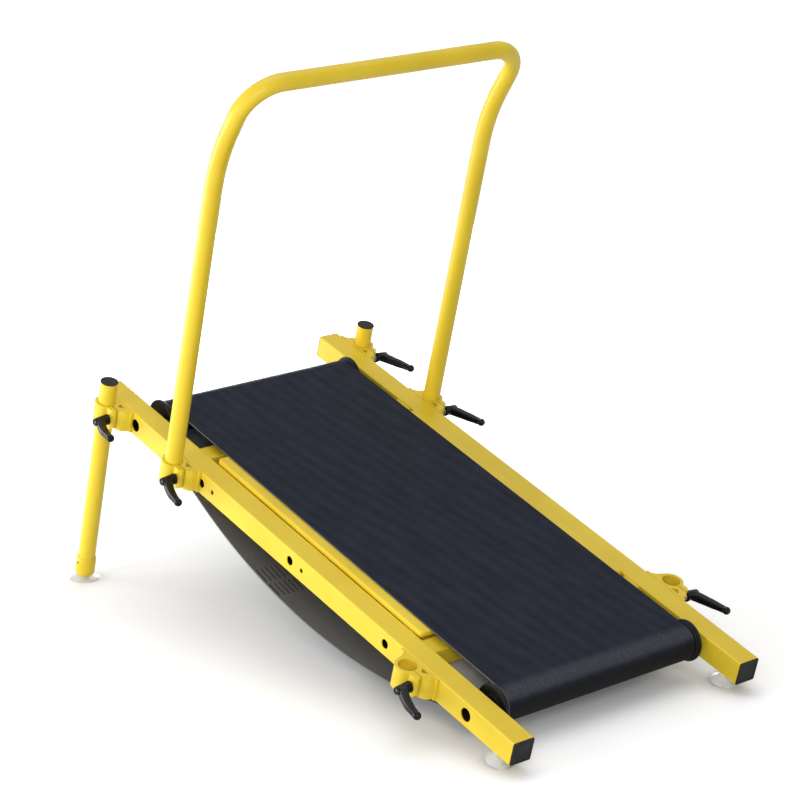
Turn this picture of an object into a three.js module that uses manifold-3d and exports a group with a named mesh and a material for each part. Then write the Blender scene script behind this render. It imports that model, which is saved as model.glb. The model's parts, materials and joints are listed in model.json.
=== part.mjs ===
// Manual pool treadmill: a welded frame of two rails, a running belt over two rollers and a deck board,
// a lift-off handrail, two height-adjusting front legs, six split clamps and four suction feet.
// Millimetres. The deck frame has x to the user's right, y forward from the rails' rear ends and z square
// to the deck from the rails' top faces. The deck frame stands tipped up at the front, on a level floor.
import * as THREE from "three";
import { mergeVertices } from "three/addons/utils/BufferGeometryUtils.js";
import Module from "manifold-3d";

const wasm = await Module();
wasm.setup();

// Fits
const SEAT = 0.3; // between pieces that rest on each other
const RUNNING = 0.5; // between a tube and its clamp, a stud and its hole
const OVERRUN = 2; // how far a cut runs past the face that it opens

// Side rails
const FRAME_WIDTH = 654;
const RAIL_LENGTH = 1420;
const RAIL_SIZE = 52;
const RAIL_WALL = 3;
const RAIL_CORNER = 3.5;
const AXLE_INSET = 137; // from each rail end to a roller's axle
const AXLE_ACCESS_RADIUS = 14;
const SUPPORT_INSET = 391; // from each rail end to a deck support, the third one at half length
const SUPPORT_ACCESS_RADIUS = 10;
const DRAIN_RADIUS = 5;
const DRAIN_SETBACK = 40; // a drain hole lies this far behind its support

// Rail end caps
const CAP_MARGIN = 0.8; // of bare tube wall left showing round a cap
const CAP_PLATE = 2.4;
const CAP_PLUG = 16;
const CAP_BEVEL = 0.9;

// Cross tubes
const CROSS_WIDTH = 45;
const CROSS_HEIGHT = 42;
const CROSS_WALL = 3;
const CROSS_CORNER = 4;
const CROSS_DROP = 5.5; // of their top faces below the rails' top
const REAR_CROSS_STATION = 327;
const FRONT_CROSS_INSET = 319; // from the rails' front ends

// Rollers, axles and bearings
const ROLLER_RADIUS = 35;
const ROLLER_WALL = 4;
const ROLLER_FLANGE_RADIUS = 44;
const ROLLER_FLANGE_THICKNESS = 12;
const ROLLER_FLANGE_ROUND = 3;
const ROLLER_PLUG = 13; // of solid end behind each bearing seat
const AXLE_RADIUS = 8.5;
const BEARING_RADIUS = 17.5;
const BEARING_WIDTH = 10;
const BEARING_SEAL_DEPTH = 0.8;
const BEARING_RING = 2.6; // thickness of each race seen from the end
const BOLT_RADIUS = 5;
const BOLT_CLEARANCE = 0.6;
const BOLT_HEAD_RADIUS = 9.8; // over the corners
const BOLT_HEAD_HEIGHT = 7;
const BOLT_GRIP = 18; // of thread in the axle

// Running belt
const BELT_GAP = 26; // from each edge to the rail
const BELT_THICKNESS = 3;

// Deck board and its supports
const DECK_GAP = 4.5; // from each edge to the rail
const DECK_THICKNESS = 14;
const DECK_REAR = 352;
const DECK_FRONT_INSET = 366; // from the rails' front ends
const DECK_CORNER = 9;
const DECK_EDGE = 4.5;
const SUPPORT_WIDTH = 30;
const SUPPORT_HEIGHT = 36;
const SUPPORT_WALL = 3;
const SUPPORT_END = 9;
const SUPPORT_BOLT_RADIUS = 4.2;

// Belly pan: a bent sheet under the belt's return run
const PAN_THICKNESS = 4;
const PAN_GAP = 10; // from each edge to the rail
const PAN_DEPTH = 192; // of its lowest line below the rails' top
const PAN_RISE = 108.6; // of its ends above its lowest line
const PAN_INSET = 192; // from each rail end
const PAN_LUG_LENGTH = 40;
const PAN_LUG_THICKNESS = 3;
const PAN_LUG_TOP = 16; // below the rails' top
const SLOT_LENGTH = 42;
const SLOT_WIDTH = 5;
const SLOT_PITCH = 12;
const SLOT_BRIDGE = 8; // between the two slots of a row
const SLOT_ROWS = 7; // on each side of the pan
const SLOT_MARGIN = 6; // from the pan's edge to the centre of the first row
const SLOT_FIELD_FRONT = 887;

// Round tube of the legs and the handrail
const TUBE_RADIUS = 19;
const TUBE_WALL = 2.5;

// Clamps. Their tubes stand square to the deck beside the rails.
const BORE_OFFSET = 27; // from a rail's outer face to a tube's axis
const LEG_INSET = 60; // from a rail's front end to its leg
const HANDRAIL_INSET = 321; // from a rail's front end to the handrail's post
const SPARE_STATION = 289;
const COLLAR_WALL = 6.5;
const COLLAR_HEIGHT = 48;
const COLLAR_DROP = 1; // of its top below the rail's top
const SLIT_WIDTH = 2.4;
const EAR_REACH = 43; // behind the tube's axis
const EAR_THICKNESS = 12;
const EAR_CHAMFER = 6;
const FOOT_FLANGE = 5; // thickness of the casting's flange on the rail
const FRONT_FLANGE_REACH = 50;
const REAR_FLANGE_REACH = 66;
const FLANGE_LIP = 5; // of bare flange before the front web
const SHOULDER_REACH = 58; // behind the tube's axis, where the rear web steps down to the flange
const SHOULDER_WIDTH = 12; // of the rear web there, from the rail's face
const SHOULDER_STEP = 2; // back from the web's corner to the foot of its step
const SHOULDER_BULGE = 5; // of the rear web's Bezier handle beyond its chord
const WEB_ANGLE = 70; // degrees round the collar where the front web leaves it
// Bezier handles of the front web, as shares of the bore offset and of the front flange's reach
const FRONT_WEB_SHARES = [[0.9, 0.61], [0.3, 0.62]];
// Corners of the core pocket between collar, rear web and flange, as shares of the bore offset and of the
// rear flange's reach
const POCKET_SHARES = [[0.25, 0.32], [0.24, 0.65], [0.66, 0.47]];

// Clamp levers with their threaded studs
const STUD_SETBACK = 33.5; // behind the tube's axis
const STUD_RADIUS = 4;
const STUD_GRIP = 7; // of thread in the inner ear
const STUD_COLLAR_RADIUS = 7.5;
const STUD_COLLAR_THICKNESS = 2;
const HUB_LENGTH = 35;
const HUB_RADIUS = 12; // at its inner end
const HUB_TAPER = 3.5; // of its radius toward the outer end
const HUB_CHAMFER = 1.5;
const HUB_BORE_DEPTH = 27;
const ARM_LENGTH = 79; // from the hub's axis to the knob's centre
const ARM_ROOT = 22; // along the hub from its inner end
const ARM_RISE = 23; // outward from the root to the knob
const ARM_BOW = 3.5; // outward of the straight line at half length
const ARM_ROOT_HALF_WIDTH = 9.6;
const ARM_ROOT_HALF_HEIGHT = 9.5;
const ARM_NECK_RADIUS = 6.4;
const KNOB_RADIUS = 8.2;
// Of the way along the arm: where its rings lie, the last where the neck begins
const ARM_RING_SHARES = [0, 0.25, 0.5, 0.75];
const KNOB_STEPS = 3;
const KNOB_END_ANGLE = 165; // degrees from the neck's axis at which the knob is cut flat
const LEVER_ANGLES = { left: [-5, 1, 1], right: [-3, -3, -1] }; // degrees below the deck, front to rear

// Front legs
const LEG_STAND = 47; // of a leg's tube above the rails' top
const LEG_CAP_THICKNESS = 2;
const LEG_CAP_LIP = 0.6; // of a leg's cap beyond its tube
const LEG_CAP_PLUG = 14;
const BALL_DROP = 440; // from the rails' top to a foot's ball, along the leg
const BOOT_RADIUS = 22;
const BOOT_LENGTH = 36; // above the ball's centre
const BOOT_TAPER = 6;
const BOOT_RIM = 1.4;
const BOOT_LIP_PLAY = 1.4; // degrees between a stem at full tilt and the socket's lip
const BOOT_FLOOR = 2.5;
const BOOT_DOME = 11.5; // below the ball's centre
const BOOT_MOUTH_RADIUS = 12.6;
const BOOT_END_RADIUS = 15;
const BALL_RADIUS = 10.5;
const BALL_PLAY = 0.8;
const STEM_RADIUS = 5.2;
const FOOT_TILT = 25; // degrees that a foot leans to either side of the leg's axis

// Suction feet
const CUP_RADIUS = 34;
const CUP_RIM = 1.3;
const BALL_HEIGHT = 21.9; // of a front foot's ball over the floor
const STEM_FOOT_SHARE = 0.33; // of the ball's height, where a front foot's stem leaves the cup
const CUP_CROWN_SHARES = [[0.88, 0.1], [0.52, 0.15], [0.24, 0.2]]; // of its radius and of the ball's height
const REAR_CUP_STATION = 50;
const REAR_CUP_HEIGHT = 28;
const REAR_CUP_NECK_RADIUS = 12;
const REAR_CUP_STUD_RADIUS = 4;
const REAR_CUP_STUD_LENGTH = 14;
const REAR_CUP_LIP = 3;
// Outside and inside of a rear cup, as shares of its radius and of its height from the rail down
const REAR_CUP_OUTSIDE_SHARES = [[0.33, 0.3], [0.38, 0.45], [0.68, 0.72], [0.95, 0.9]];
const REAR_CUP_HOLLOW_SHARE = 0.7; // of the height down to the hollow's top
const HEEL_FLAT = 0.8; // of a rear cup's rim pressed flat on the floor

// Handrail
const HANDRAIL_STRAIGHT = 632; // of its posts above the rails' top
const HANDRAIL_BACK_ANGLE = 19.8; // degrees that the posts bend back
const HANDRAIL_BACK_RADIUS = 400;
const HANDRAIL_UPPER = 48; // straight tube between the two bends
const HANDRAIL_CORNER = 81;

// Facets
const TUBE_SIDES = 12;
const BORE_SIDES = 10;
const ROUND_SIDES = 18;
const SMALL_SIDES = 8;
const CORNER_STEPS = 1;
const WEB_STEPS = 5;
const BELT_STEPS = 8; // round each roller
const PAN_STEPS = 10;
const BALL_STEPS = 4;
const DOME_STEPS = 2;
const POST_BEND_STEPS = 3;
const CORNER_BEND_STEPS = 7;

// Places worked out from the sizes
const railOuterX = FRAME_WIDTH / 2;
const railInnerX = railOuterX - RAIL_SIZE;
const railX = (railOuterX + railInnerX) / 2;
const railZ = -RAIL_SIZE / 2;
const axleStations = { rear: AXLE_INSET, front: RAIL_LENGTH - AXLE_INSET };
const supportStations = { rear: SUPPORT_INSET, middle: RAIL_LENGTH / 2, front: RAIL_LENGTH - SUPPORT_INSET };
const clampStations = {
  front: RAIL_LENGTH - LEG_INSET,
  middle: RAIL_LENGTH - HANDRAIL_INSET,
  rear: SPARE_STATION,
};
const deckFront = RAIL_LENGTH - DECK_FRONT_INSET;
const deckWidth = 2 * (railInnerX - DECK_GAP);
const beltWidth = 2 * (railInnerX - BELT_GAP);
const frontCrossStation = RAIL_LENGTH - FRONT_CROSS_INSET;
const panHalfLength = RAIL_LENGTH / 2 - PAN_INSET;
const panRadius = (panHalfLength ** 2 + PAN_RISE ** 2) / (2 * PAN_RISE);
const crossLength = 2 * (railInnerX - SEAT);
const rollerHalf = beltWidth / 2 + OVERRUN + ROLLER_FLANGE_THICKNESS;
const beltInner = ROLLER_RADIUS + SEAT;
const beltOuter = beltInner + BELT_THICKNESS;
const deckTop = railZ + beltInner - SEAT;
const deckUnder = deckTop - DECK_THICKNESS;
const collarTop = -COLLAR_DROP;
const studZ = collarTop - COLLAR_HEIGHT / 2;
const boreRadius = TUBE_RADIUS + RUNNING;
const collarRadius = boreRadius + COLLAR_WALL;
const earFace = BORE_OFFSET + SLIT_WIDTH / 2 + EAR_THICKNESS;
const hubStart = earFace + SEAT + STUD_COLLAR_THICKNESS + SEAT;
const tubeX = railOuterX + BORE_OFFSET;
const socketRadius = BALL_RADIUS + BALL_PLAY;

// The incline sets both the front feet and the heels of the rear cups on one level floor.
const heelY = REAR_CUP_STATION - CUP_RADIUS;
const heelDrop = RAIL_SIZE + REAR_CUP_HEIGHT;
const standLength = clampStations.front - heelY;
const standDrop = BALL_DROP - heelDrop;
const incline =
  Math.atan2(standDrop, standLength) +
  Math.asin((BALL_HEIGHT + HEEL_FLAT) / Math.hypot(standLength, standDrop));

// Solids from three.js geometries

function solid(geometry) {
  const bare = geometry.clone();
  bare.deleteAttribute("normal");
  bare.deleteAttribute("uv");
  const merged = mergeVertices(bare);
  const index = Array.from(merged.index.array);
  const triVerts = [];
  for (let i = 0; i < index.length; i += 3) {
    const [a, b, c] = index.slice(i, i + 3);
    if (a !== b && b !== c && c !== a) triVerts.push(a, b, c);
  }
  return new wasm.Manifold(
    new wasm.Mesh({
      numProp: 3,
      vertProperties: merged.attributes.position.array,
      triVerts: Uint32Array.from(triVerts),
    }),
  );
}

const join = (first, ...others) => others.reduce((sum, other) => sum.add(other), first);
const cut = (first, ...others) => others.reduce((rest, other) => rest.subtract(other), first);

// The axis that a prism, rod or turned piece runs along, as the turn that brings its own axis there
const ACROSS = new THREE.Matrix4().makeBasis(
  new THREE.Vector3(0, 1, 0),
  new THREE.Vector3(0, 0, 1),
  new THREE.Vector3(1, 0, 0),
);
const ALONG = new THREE.Matrix4().makeRotationX(Math.PI / 2);

const extruded = (shape, depth, curveSegments) =>
  new THREE.ExtrudeGeometry(shape, { depth, bevelEnabled: false, curveSegments });

// A shape drawn in (y, z) and run across the frame from x = from to x = to
function prismAcross(shape, from, to, curveSegments = CORNER_STEPS) {
  return solid(extruded(shape, to - from, curveSegments).applyMatrix4(ACROSS).translate(from, 0, 0));
}

// A shape drawn in (x, z) and run along the frame from y = from to y = to
function prismAlong(shape, from, to, curveSegments = CORNER_STEPS) {
  return solid(extruded(shape, to - from, curveSegments).applyMatrix4(ALONG).translate(0, to, 0));
}

// A shape drawn in (x, y) and run upward from z = from to z = to
function prismUp(shape, from, to, curveSegments = CORNER_STEPS) {
  return solid(extruded(shape, to - from, curveSegments).translate(0, 0, from));
}

function block(x0, x1, y0, y1, z0, z1) {
  const geometry = new THREE.BoxGeometry(x1 - x0, y1 - y0, z1 - z0);
  return solid(geometry.translate((x0 + x1) / 2, (y0 + y1) / 2, (z0 + z1) / 2));
}

function rodAcross(radius, from, to, y, z, sides = SMALL_SIDES) {
  const geometry = new THREE.CylinderGeometry(radius, radius, to - from, sides);
  return solid(geometry.rotateZ(-Math.PI / 2).translate((from + to) / 2, y, z));
}

function rodUp(radius, from, to, x, y, sides = ROUND_SIDES) {
  const geometry = new THREE.CylinderGeometry(radius, radius, to - from, sides);
  return solid(geometry.rotateX(Math.PI / 2).translate(x, y, (from + to) / 2));
}

// A profile of [place along the axis, radius] points, turned round the axis. It starts and ends on the
// axis, or closes on itself. Either direction round the profile gives faces that point out.
function turned(profile, sides) {
  const area = profile.reduce((sum, [axial, radius], i) => {
    const [nextAxial, nextRadius] = profile[(i + 1) % profile.length];
    return sum + radius * nextAxial - nextRadius * axial;
  }, 0);
  const ordered = area > 0 ? profile : [...profile].reverse();
  const points = ordered.map(([axial, radius]) => new THREE.Vector2(radius, axial));
  const [, firstRadius] = ordered[0];
  const [, lastRadius] = ordered[ordered.length - 1];
  if (firstRadius > 0 || lastRadius > 0) points.push(points[0].clone());
  return new THREE.LatheGeometry(points, sides);
}

const turnedAcross = (profile, sides) => solid(turned(profile, sides).rotateZ(-Math.PI / 2));
const turnedUp = (profile, sides) => solid(turned(profile, sides).rotateX(Math.PI / 2));

// Points [place along the axis, radius] of an arc round a centre on the axis, angles in degrees from the
// axis, both ends included
function arcProfile(centre, radius, startAngle, endAngle, steps) {
  return Array.from({ length: steps + 1 }, (_, i) => {
    const angle = THREE.MathUtils.degToRad(startAngle + ((endAngle - startAngle) * i) / steps);
    return [centre + radius * Math.cos(angle), radius * Math.sin(angle)];
  });
}

function roundedRectangle(width, height, radius, x = 0, y = 0, Type = THREE.Shape) {
  const [right, top] = [x + width / 2, y + height / 2];
  const [left, bottom] = [x - width / 2, y - height / 2];
  const shape = new Type();
  shape.moveTo(left + radius, bottom);
  shape.absarc(right - radius, bottom + radius, radius, -Math.PI / 2, 0, false);
  shape.absarc(right - radius, top - radius, radius, 0, Math.PI / 2, false);
  shape.absarc(left + radius, top - radius, radius, Math.PI / 2, Math.PI, false);
  shape.absarc(left + radius, bottom + radius, radius, Math.PI, (3 * Math.PI) / 2, false);
  shape.closePath();
  return shape;
}

function tubeSection(width, height, wall, corner, x, y) {
  const section = roundedRectangle(width, height, corner, x, y);
  const inside = [width - 2 * wall, height - 2 * wall, corner - wall];
  section.holes.push(roundedRectangle(...inside, x, y, THREE.Path));
  return section;
}

// Materials

const finish = (color, roughness, metalness = 0) =>
  new THREE.MeshStandardMaterial({ color, roughness, metalness });
const yellowPaint = finish(0xf2cf2e, 0.35);
const blackPlastic = finish(0x2a2b2c, 0.55);
const leverBlack = finish(0x18191a, 0.3);
const beltRubber = finish(0x33353f, 0.75);
const rollerBlack = finish(0x1d2021, 0.5);
const panGrey = finish(0x55585a, 0.7);
const steel = finish(0xb9bcc0, 0.3, 1);
const rubber = finish(0xa8adaf, 0.45);

function add(parent, name, body, material) {
  const mesh = body.getMesh();
  const geometry = new THREE.BufferGeometry();
  geometry.setAttribute("position", new THREE.BufferAttribute(mesh.vertProperties, mesh.numProp));
  geometry.setIndex(new THREE.BufferAttribute(mesh.triVerts, 1));
  const flat = geometry.toNonIndexed();
  flat.computeVertexNormals();
  const node = new THREE.Mesh(flat, material);
  node.name = name;
  parent.add(node);
  return node;
}

// Side rail of the right-hand side, with its access, drain and bolt holes

function rail() {
  const section = tubeSection(RAIL_SIZE, RAIL_SIZE, RAIL_WALL, RAIL_CORNER, railX, railZ);
  const outerWall = [railOuterX - RAIL_WALL - OVERRUN, railOuterX + OVERRUN];
  const innerWall = [railInnerX - OVERRUN, railInnerX + RAIL_WALL + OVERRUN];
  const holes = [];
  for (const y of Object.values(axleStations)) {
    holes.push(rodAcross(AXLE_ACCESS_RADIUS, ...outerWall, y, railZ, TUBE_SIDES));
    holes.push(rodAcross(BOLT_RADIUS + BOLT_CLEARANCE, ...innerWall, y, railZ));
  }
  for (const y of Object.values(supportStations)) {
    holes.push(rodAcross(SUPPORT_ACCESS_RADIUS, ...outerWall, y, railZ, TUBE_SIDES));
    holes.push(rodAcross(SUPPORT_BOLT_RADIUS, ...innerWall, y, railZ));
  }
  for (const y of [supportStations.middle, supportStations.front]) {
    holes.push(rodAcross(DRAIN_RADIUS, ...outerWall, y - DRAIN_SETBACK, railZ));
  }
  const studHole = REAR_CUP_STUD_RADIUS + RUNNING;
  const underside = [-RAIL_SIZE - OVERRUN, OVERRUN - RAIL_SIZE + RAIL_WALL];
  holes.push(rodUp(studHole, ...underside, railX, REAR_CUP_STATION, SMALL_SIDES));
  return cut(prismAlong(section, 0, RAIL_LENGTH), ...holes);
}

// Insert cap of a rail's end: a bevelled plate on the tube's end face with a plug in its bore. The plate
// faces along +y.
function railCap() {
  const plate = RAIL_SIZE - 2 * CAP_MARGIN;
  const geometry = new THREE.ExtrudeGeometry(
    roundedRectangle(plate - 2 * CAP_BEVEL, plate - 2 * CAP_BEVEL, RAIL_CORNER - CAP_MARGIN),
    {
      depth: CAP_PLATE - 2 * CAP_BEVEL,
      bevelSize: CAP_BEVEL,
      bevelThickness: CAP_BEVEL,
      bevelSegments: 1,
      curveSegments: CORNER_STEPS,
    },
  );
  const face = solid(geometry.rotateX(-Math.PI / 2).translate(0, SEAT + CAP_BEVEL, 0));
  const plug = RAIL_SIZE - 2 * RAIL_WALL - 2 * SEAT;
  const shank = roundedRectangle(plug, plug, RAIL_CORNER - RAIL_WALL);
  return join(face, prismAlong(shank, -CAP_PLUG, SEAT + CAP_PLATE / 2));
}

// Cross tube welded between the rails

function crossTube() {
  const z = -CROSS_DROP - CROSS_HEIGHT / 2;
  const section = tubeSection(CROSS_WIDTH, CROSS_HEIGHT, CROSS_WALL, CROSS_CORNER, 0, z);
  return prismAcross(section, -crossLength / 2, crossLength / 2);
}

// Deck board under the belt, its edges rounded all round

function deckBoard() {
  const plan = roundedRectangle(
    deckWidth - 2 * DECK_EDGE,
    deckFront - DECK_REAR - 2 * DECK_EDGE,
    DECK_CORNER - DECK_EDGE,
    0,
    (deckFront + DECK_REAR) / 2,
  );
  const geometry = new THREE.ExtrudeGeometry(plan, {
    depth: DECK_THICKNESS - 2 * DECK_EDGE,
    bevelSize: DECK_EDGE,
    bevelThickness: DECK_EDGE,
    bevelSegments: 2,
    curveSegments: CORNER_STEPS,
  });
  return solid(geometry.translate(0, 0, deckUnder + DECK_EDGE));
}

// Box-section bar under the deck, closed by end blocks that take the bolts from inside the rails

function deckSupport() {
  const top = deckUnder - SEAT;
  const z = top - SUPPORT_HEIGHT / 2;
  const half = crossLength / 2;
  const bar = prismAcross(roundedRectangle(SUPPORT_WIDTH, SUPPORT_HEIGHT, SUPPORT_WALL, 0, z), -half, half);
  const inside = [SUPPORT_WIDTH - 2 * SUPPORT_WALL, SUPPORT_HEIGHT - 2 * SUPPORT_WALL];
  const hollow = block(
    SUPPORT_END - half,
    half - SUPPORT_END,
    -inside[0] / 2,
    inside[0] / 2,
    z - inside[1] / 2,
    z + inside[1] / 2,
  );
  return cut(bar, hollow, rodAcross(SUPPORT_BOLT_RADIUS, -half - OVERRUN, half + OVERRUN, 0, railZ));
}

// Endless belt round both rollers

function stadium(radius, Type) {
  const shape = new Type();
  shape.absarc(axleStations.front, railZ, radius, -Math.PI / 2, Math.PI / 2, false);
  shape.absarc(axleStations.rear, railZ, radius, Math.PI / 2, (3 * Math.PI) / 2, false);
  shape.closePath();
  return shape;
}

function runningBelt() {
  const loop = stadium(beltOuter, THREE.Shape);
  loop.holes.push(stadium(beltInner, THREE.Path));
  return prismAcross(loop, -beltWidth / 2, beltWidth / 2, BELT_STEPS);
}

// Roller: a tube with flanged ends, each with a bearing seat and a plug round the axle

function roller() {
  const flangeInside = rollerHalf - ROLLER_FLANGE_THICKNESS;
  const seatRadius = BEARING_RADIUS + SEAT + SEAT;
  const seatEnd = rollerHalf - BEARING_WIDTH - 2 * SEAT;
  const axleHole = AXLE_RADIUS + 2 * RUNNING;
  const half = [
    [flangeInside, ROLLER_RADIUS],
    [flangeInside, ROLLER_FLANGE_RADIUS],
    [rollerHalf - ROLLER_FLANGE_ROUND, ROLLER_FLANGE_RADIUS],
    [rollerHalf, ROLLER_FLANGE_RADIUS - ROLLER_FLANGE_ROUND],
    [rollerHalf, seatRadius],
    [seatEnd, seatRadius],
    [seatEnd, axleHole],
    [seatEnd - ROLLER_PLUG, axleHole],
    [seatEnd - ROLLER_PLUG, ROLLER_RADIUS - ROLLER_WALL],
  ];
  const otherHalf = half.map(([axial, radius]) => [-axial, radius]).reverse();
  return turnedAcross([...half, ...otherHalf], ROUND_SIDES);
}

function axle() {
  const half = crossLength / 2;
  const tapped = BOLT_RADIUS + SEAT;
  const depth = BOLT_GRIP + OVERRUN;
  return cut(
    rodAcross(AXLE_RADIUS, -half, half, 0, 0, TUBE_SIDES),
    rodAcross(tapped, half - depth, half + OVERRUN, 0, 0),
    rodAcross(tapped, -half - OVERRUN, depth - half, 0, 0),
  );
}

// Sealed ball bearing of the right-hand end, its seal set back between the two races
function bearing() {
  const outerFace = rollerHalf - SEAT;
  const innerFace = outerFace - BEARING_WIDTH;
  const boreWall = AXLE_RADIUS + SEAT;
  return turnedAcross(
    [
      [innerFace, boreWall],
      [outerFace, boreWall],
      [outerFace, boreWall + BEARING_RING],
      [outerFace - BEARING_SEAL_DEPTH, boreWall + BEARING_RING],
      [outerFace - BEARING_SEAL_DEPTH, BEARING_RADIUS - BEARING_RING],
      [outerFace, BEARING_RADIUS - BEARING_RING],
      [outerFace, BEARING_RADIUS],
      [innerFace, BEARING_RADIUS],
    ],
    TUBE_SIDES,
  );
}

// Hexagon-head bolt of the right-hand end: its head inside the rail, its thread in the axle
function axleBolt() {
  const headFace = railInnerX + RAIL_WALL + SEAT;
  const hexagonSides = 6;
  return join(
    rodAcross(BOLT_HEAD_RADIUS, headFace, headFace + BOLT_HEAD_HEIGHT, 0, 0, hexagonSides),
    rodAcross(BOLT_RADIUS, railInnerX - SEAT - BOLT_GRIP, headFace + BOLT_HEAD_HEIGHT / 2, 0, 0),
  );
}

// Belly pan: an arched sheet with drain slots and four lugs against the rails' inner faces

function panBand(from, to) {
  const middle = RAIL_LENGTH / 2;
  const angleAt = (y) => -Math.PI / 2 + Math.asin((y - middle) / panRadius);
  const band = new THREE.Shape();
  band.absarc(middle, panRadius - PAN_DEPTH, panRadius, angleAt(from), angleAt(to), false);
  band.absarc(middle, panRadius - PAN_DEPTH, panRadius - PAN_THICKNESS, angleAt(to), angleAt(from), true);
  band.closePath();
  return band;
}

function bellyPan() {
  const half = railInnerX - PAN_GAP;
  const front = RAIL_LENGTH - PAN_INSET;
  const lugFace = railInnerX - SEAT;
  const sheet = prismAcross(panBand(PAN_INSET, front), -half, half, PAN_STEPS);
  const heightAt = (y) => panRadius - PAN_DEPTH - Math.sqrt(panRadius ** 2 - (y - RAIL_LENGTH / 2) ** 2);
  const lugs = [];
  for (const from of [PAN_INSET, front - PAN_LUG_LENGTH]) {
    const to = from + PAN_LUG_LENGTH;
    lugs.push(prismAcross(panBand(from, to), -lugFace, lugFace, 1));
    const foot = Math.min(heightAt(from), heightAt(to)) + PAN_THICKNESS;
    for (const side of [-1, 1]) {
      const [a, b] = [side * lugFace, side * (lugFace - PAN_LUG_THICKNESS)];
      lugs.push(block(Math.min(a, b), Math.max(a, b), from, to, foot, -PAN_LUG_TOP));
    }
  }
  const slots = [];
  const slotTop = heightAt(SLOT_FIELD_FRONT) + PAN_THICKNESS + OVERRUN;
  for (let row = 0; row < SLOT_ROWS; row += 1) {
    const x = half - SLOT_MARGIN - row * SLOT_PITCH;
    for (const end of [SLOT_FIELD_FRONT, SLOT_FIELD_FRONT - SLOT_LENGTH - SLOT_BRIDGE]) {
      for (const side of [-1, 1]) {
        const [low, high] = [side * x - SLOT_WIDTH / 2, side * x + SLOT_WIDTH / 2];
        slots.push(block(low, high, end - SLOT_LENGTH, end, -PAN_DEPTH - OVERRUN, slotTop));
      }
    }
  }
  return cut(join(sheet, ...lugs), ...slots);
}

// Clamp casting, seen from above in (outward from the rail's face, forward from the tube's axis): a split
// collar with two ears behind it, webs to a flange on the rail, and a core pocket in the rear web

function clampOutline() {
  const webAngle = THREE.MathUtils.degToRad(WEB_ANGLE);
  const earAngle = Math.asin((earFace - BORE_OFFSET) / collarRadius) - Math.PI / 2;
  const [frontLeave, frontArrive] = FRONT_WEB_SHARES;
  const frontFlange = FRONT_FLANGE_REACH;
  const shoulder = new THREE.Vector2(SHOULDER_WIDTH, -SHOULDER_REACH);
  const innerEar = new THREE.Vector2(BORE_OFFSET - SLIT_WIDTH / 2, -EAR_REACH);
  const outward = innerEar.clone().sub(shoulder).normalize().rotateAround(new THREE.Vector2(), -Math.PI / 2);
  const handle = shoulder.clone().add(innerEar).divideScalar(2).addScaledVector(outward, SHOULDER_BULGE);
  const shape = new THREE.Shape();
  shape.moveTo(SEAT, -REAR_FLANGE_REACH);
  shape.lineTo(FOOT_FLANGE, -REAR_FLANGE_REACH);
  shape.lineTo(FOOT_FLANGE, -SHOULDER_REACH - SHOULDER_STEP);
  shape.lineTo(shoulder.x, shoulder.y);
  shape.quadraticCurveTo(handle.x, handle.y, innerEar.x, innerEar.y);
  shape.lineTo(earFace - EAR_CHAMFER, -EAR_REACH);
  shape.lineTo(earFace, EAR_CHAMFER - EAR_REACH);
  shape.absarc(BORE_OFFSET, 0, collarRadius, earAngle, webAngle, false);
  shape.bezierCurveTo(
    frontLeave[0] * BORE_OFFSET,
    frontLeave[1] * frontFlange,
    frontArrive[0] * BORE_OFFSET,
    frontArrive[1] * frontFlange,
    FOOT_FLANGE,
    frontFlange - FLANGE_LIP,
  );
  shape.lineTo(FOOT_FLANGE, frontFlange);
  shape.lineTo(SEAT, frontFlange);
  shape.closePath();
  return shape;
}

function clampCasting() {
  const bottom = collarTop - COLLAR_HEIGHT;
  const through = [bottom - OVERRUN, collarTop + OVERRUN];
  const pocket = new THREE.Shape(
    POCKET_SHARES.map(
      ([outward, back]) => new THREE.Vector2(outward * BORE_OFFSET, -back * REAR_FLANGE_REACH),
    ),
  );
  const slit = [BORE_OFFSET - SLIT_WIDTH / 2, BORE_OFFSET + SLIT_WIDTH / 2];
  const studHole = [BORE_OFFSET - SLIT_WIDTH / 2 - STUD_GRIP - OVERRUN, earFace + OVERRUN];
  return cut(
    prismUp(clampOutline(), bottom, collarTop, WEB_STEPS),
    rodUp(boreRadius, ...through, BORE_OFFSET, 0),
    block(...slit, -EAR_REACH - OVERRUN, 0, ...through),
    prismUp(pocket, ...through),
    rodAcross(STUD_RADIUS + RUNNING, ...studHole, -STUD_SETBACK, studZ),
  );
}

// Clamp lever and stud, about the stud's axis, from the hub's inner end outward along x. The arm points
// along -y.

// Rings of elliptic section joined into one closed skin. A ring is its centre, its half sizes across the
// arm and upward, and the turn of its plane about z.
function loft(rings, sides) {
  const corners = [];
  const faces = [];
  for (const { centre, halfWidth, halfHeight, turn } of rings) {
    for (let i = 0; i < sides; i += 1) {
      const angle = (2 * Math.PI * i) / sides;
      const across = halfWidth * Math.cos(angle);
      corners.push(centre.x + across * Math.cos(turn), centre.y + across * Math.sin(turn));
      corners.push(centre.z + halfHeight * Math.sin(angle));
    }
  }
  for (let ring = 0; ring + 1 < rings.length; ring += 1) {
    for (let i = 0; i < sides; i += 1) {
      const [a, b] = [ring * sides + i, ring * sides + ((i + 1) % sides)];
      faces.push(a, b, b + sides, a, b + sides, a + sides);
    }
  }
  const last = (rings.length - 1) * sides;
  for (let i = 1; i + 1 < sides; i += 1) faces.push(0, i + 1, i, last, last + i, last + i + 1);
  const geometry = new THREE.BufferGeometry();
  geometry.setAttribute("position", new THREE.Float32BufferAttribute(corners, 3));
  geometry.setIndex(faces);
  return geometry;
}

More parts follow.
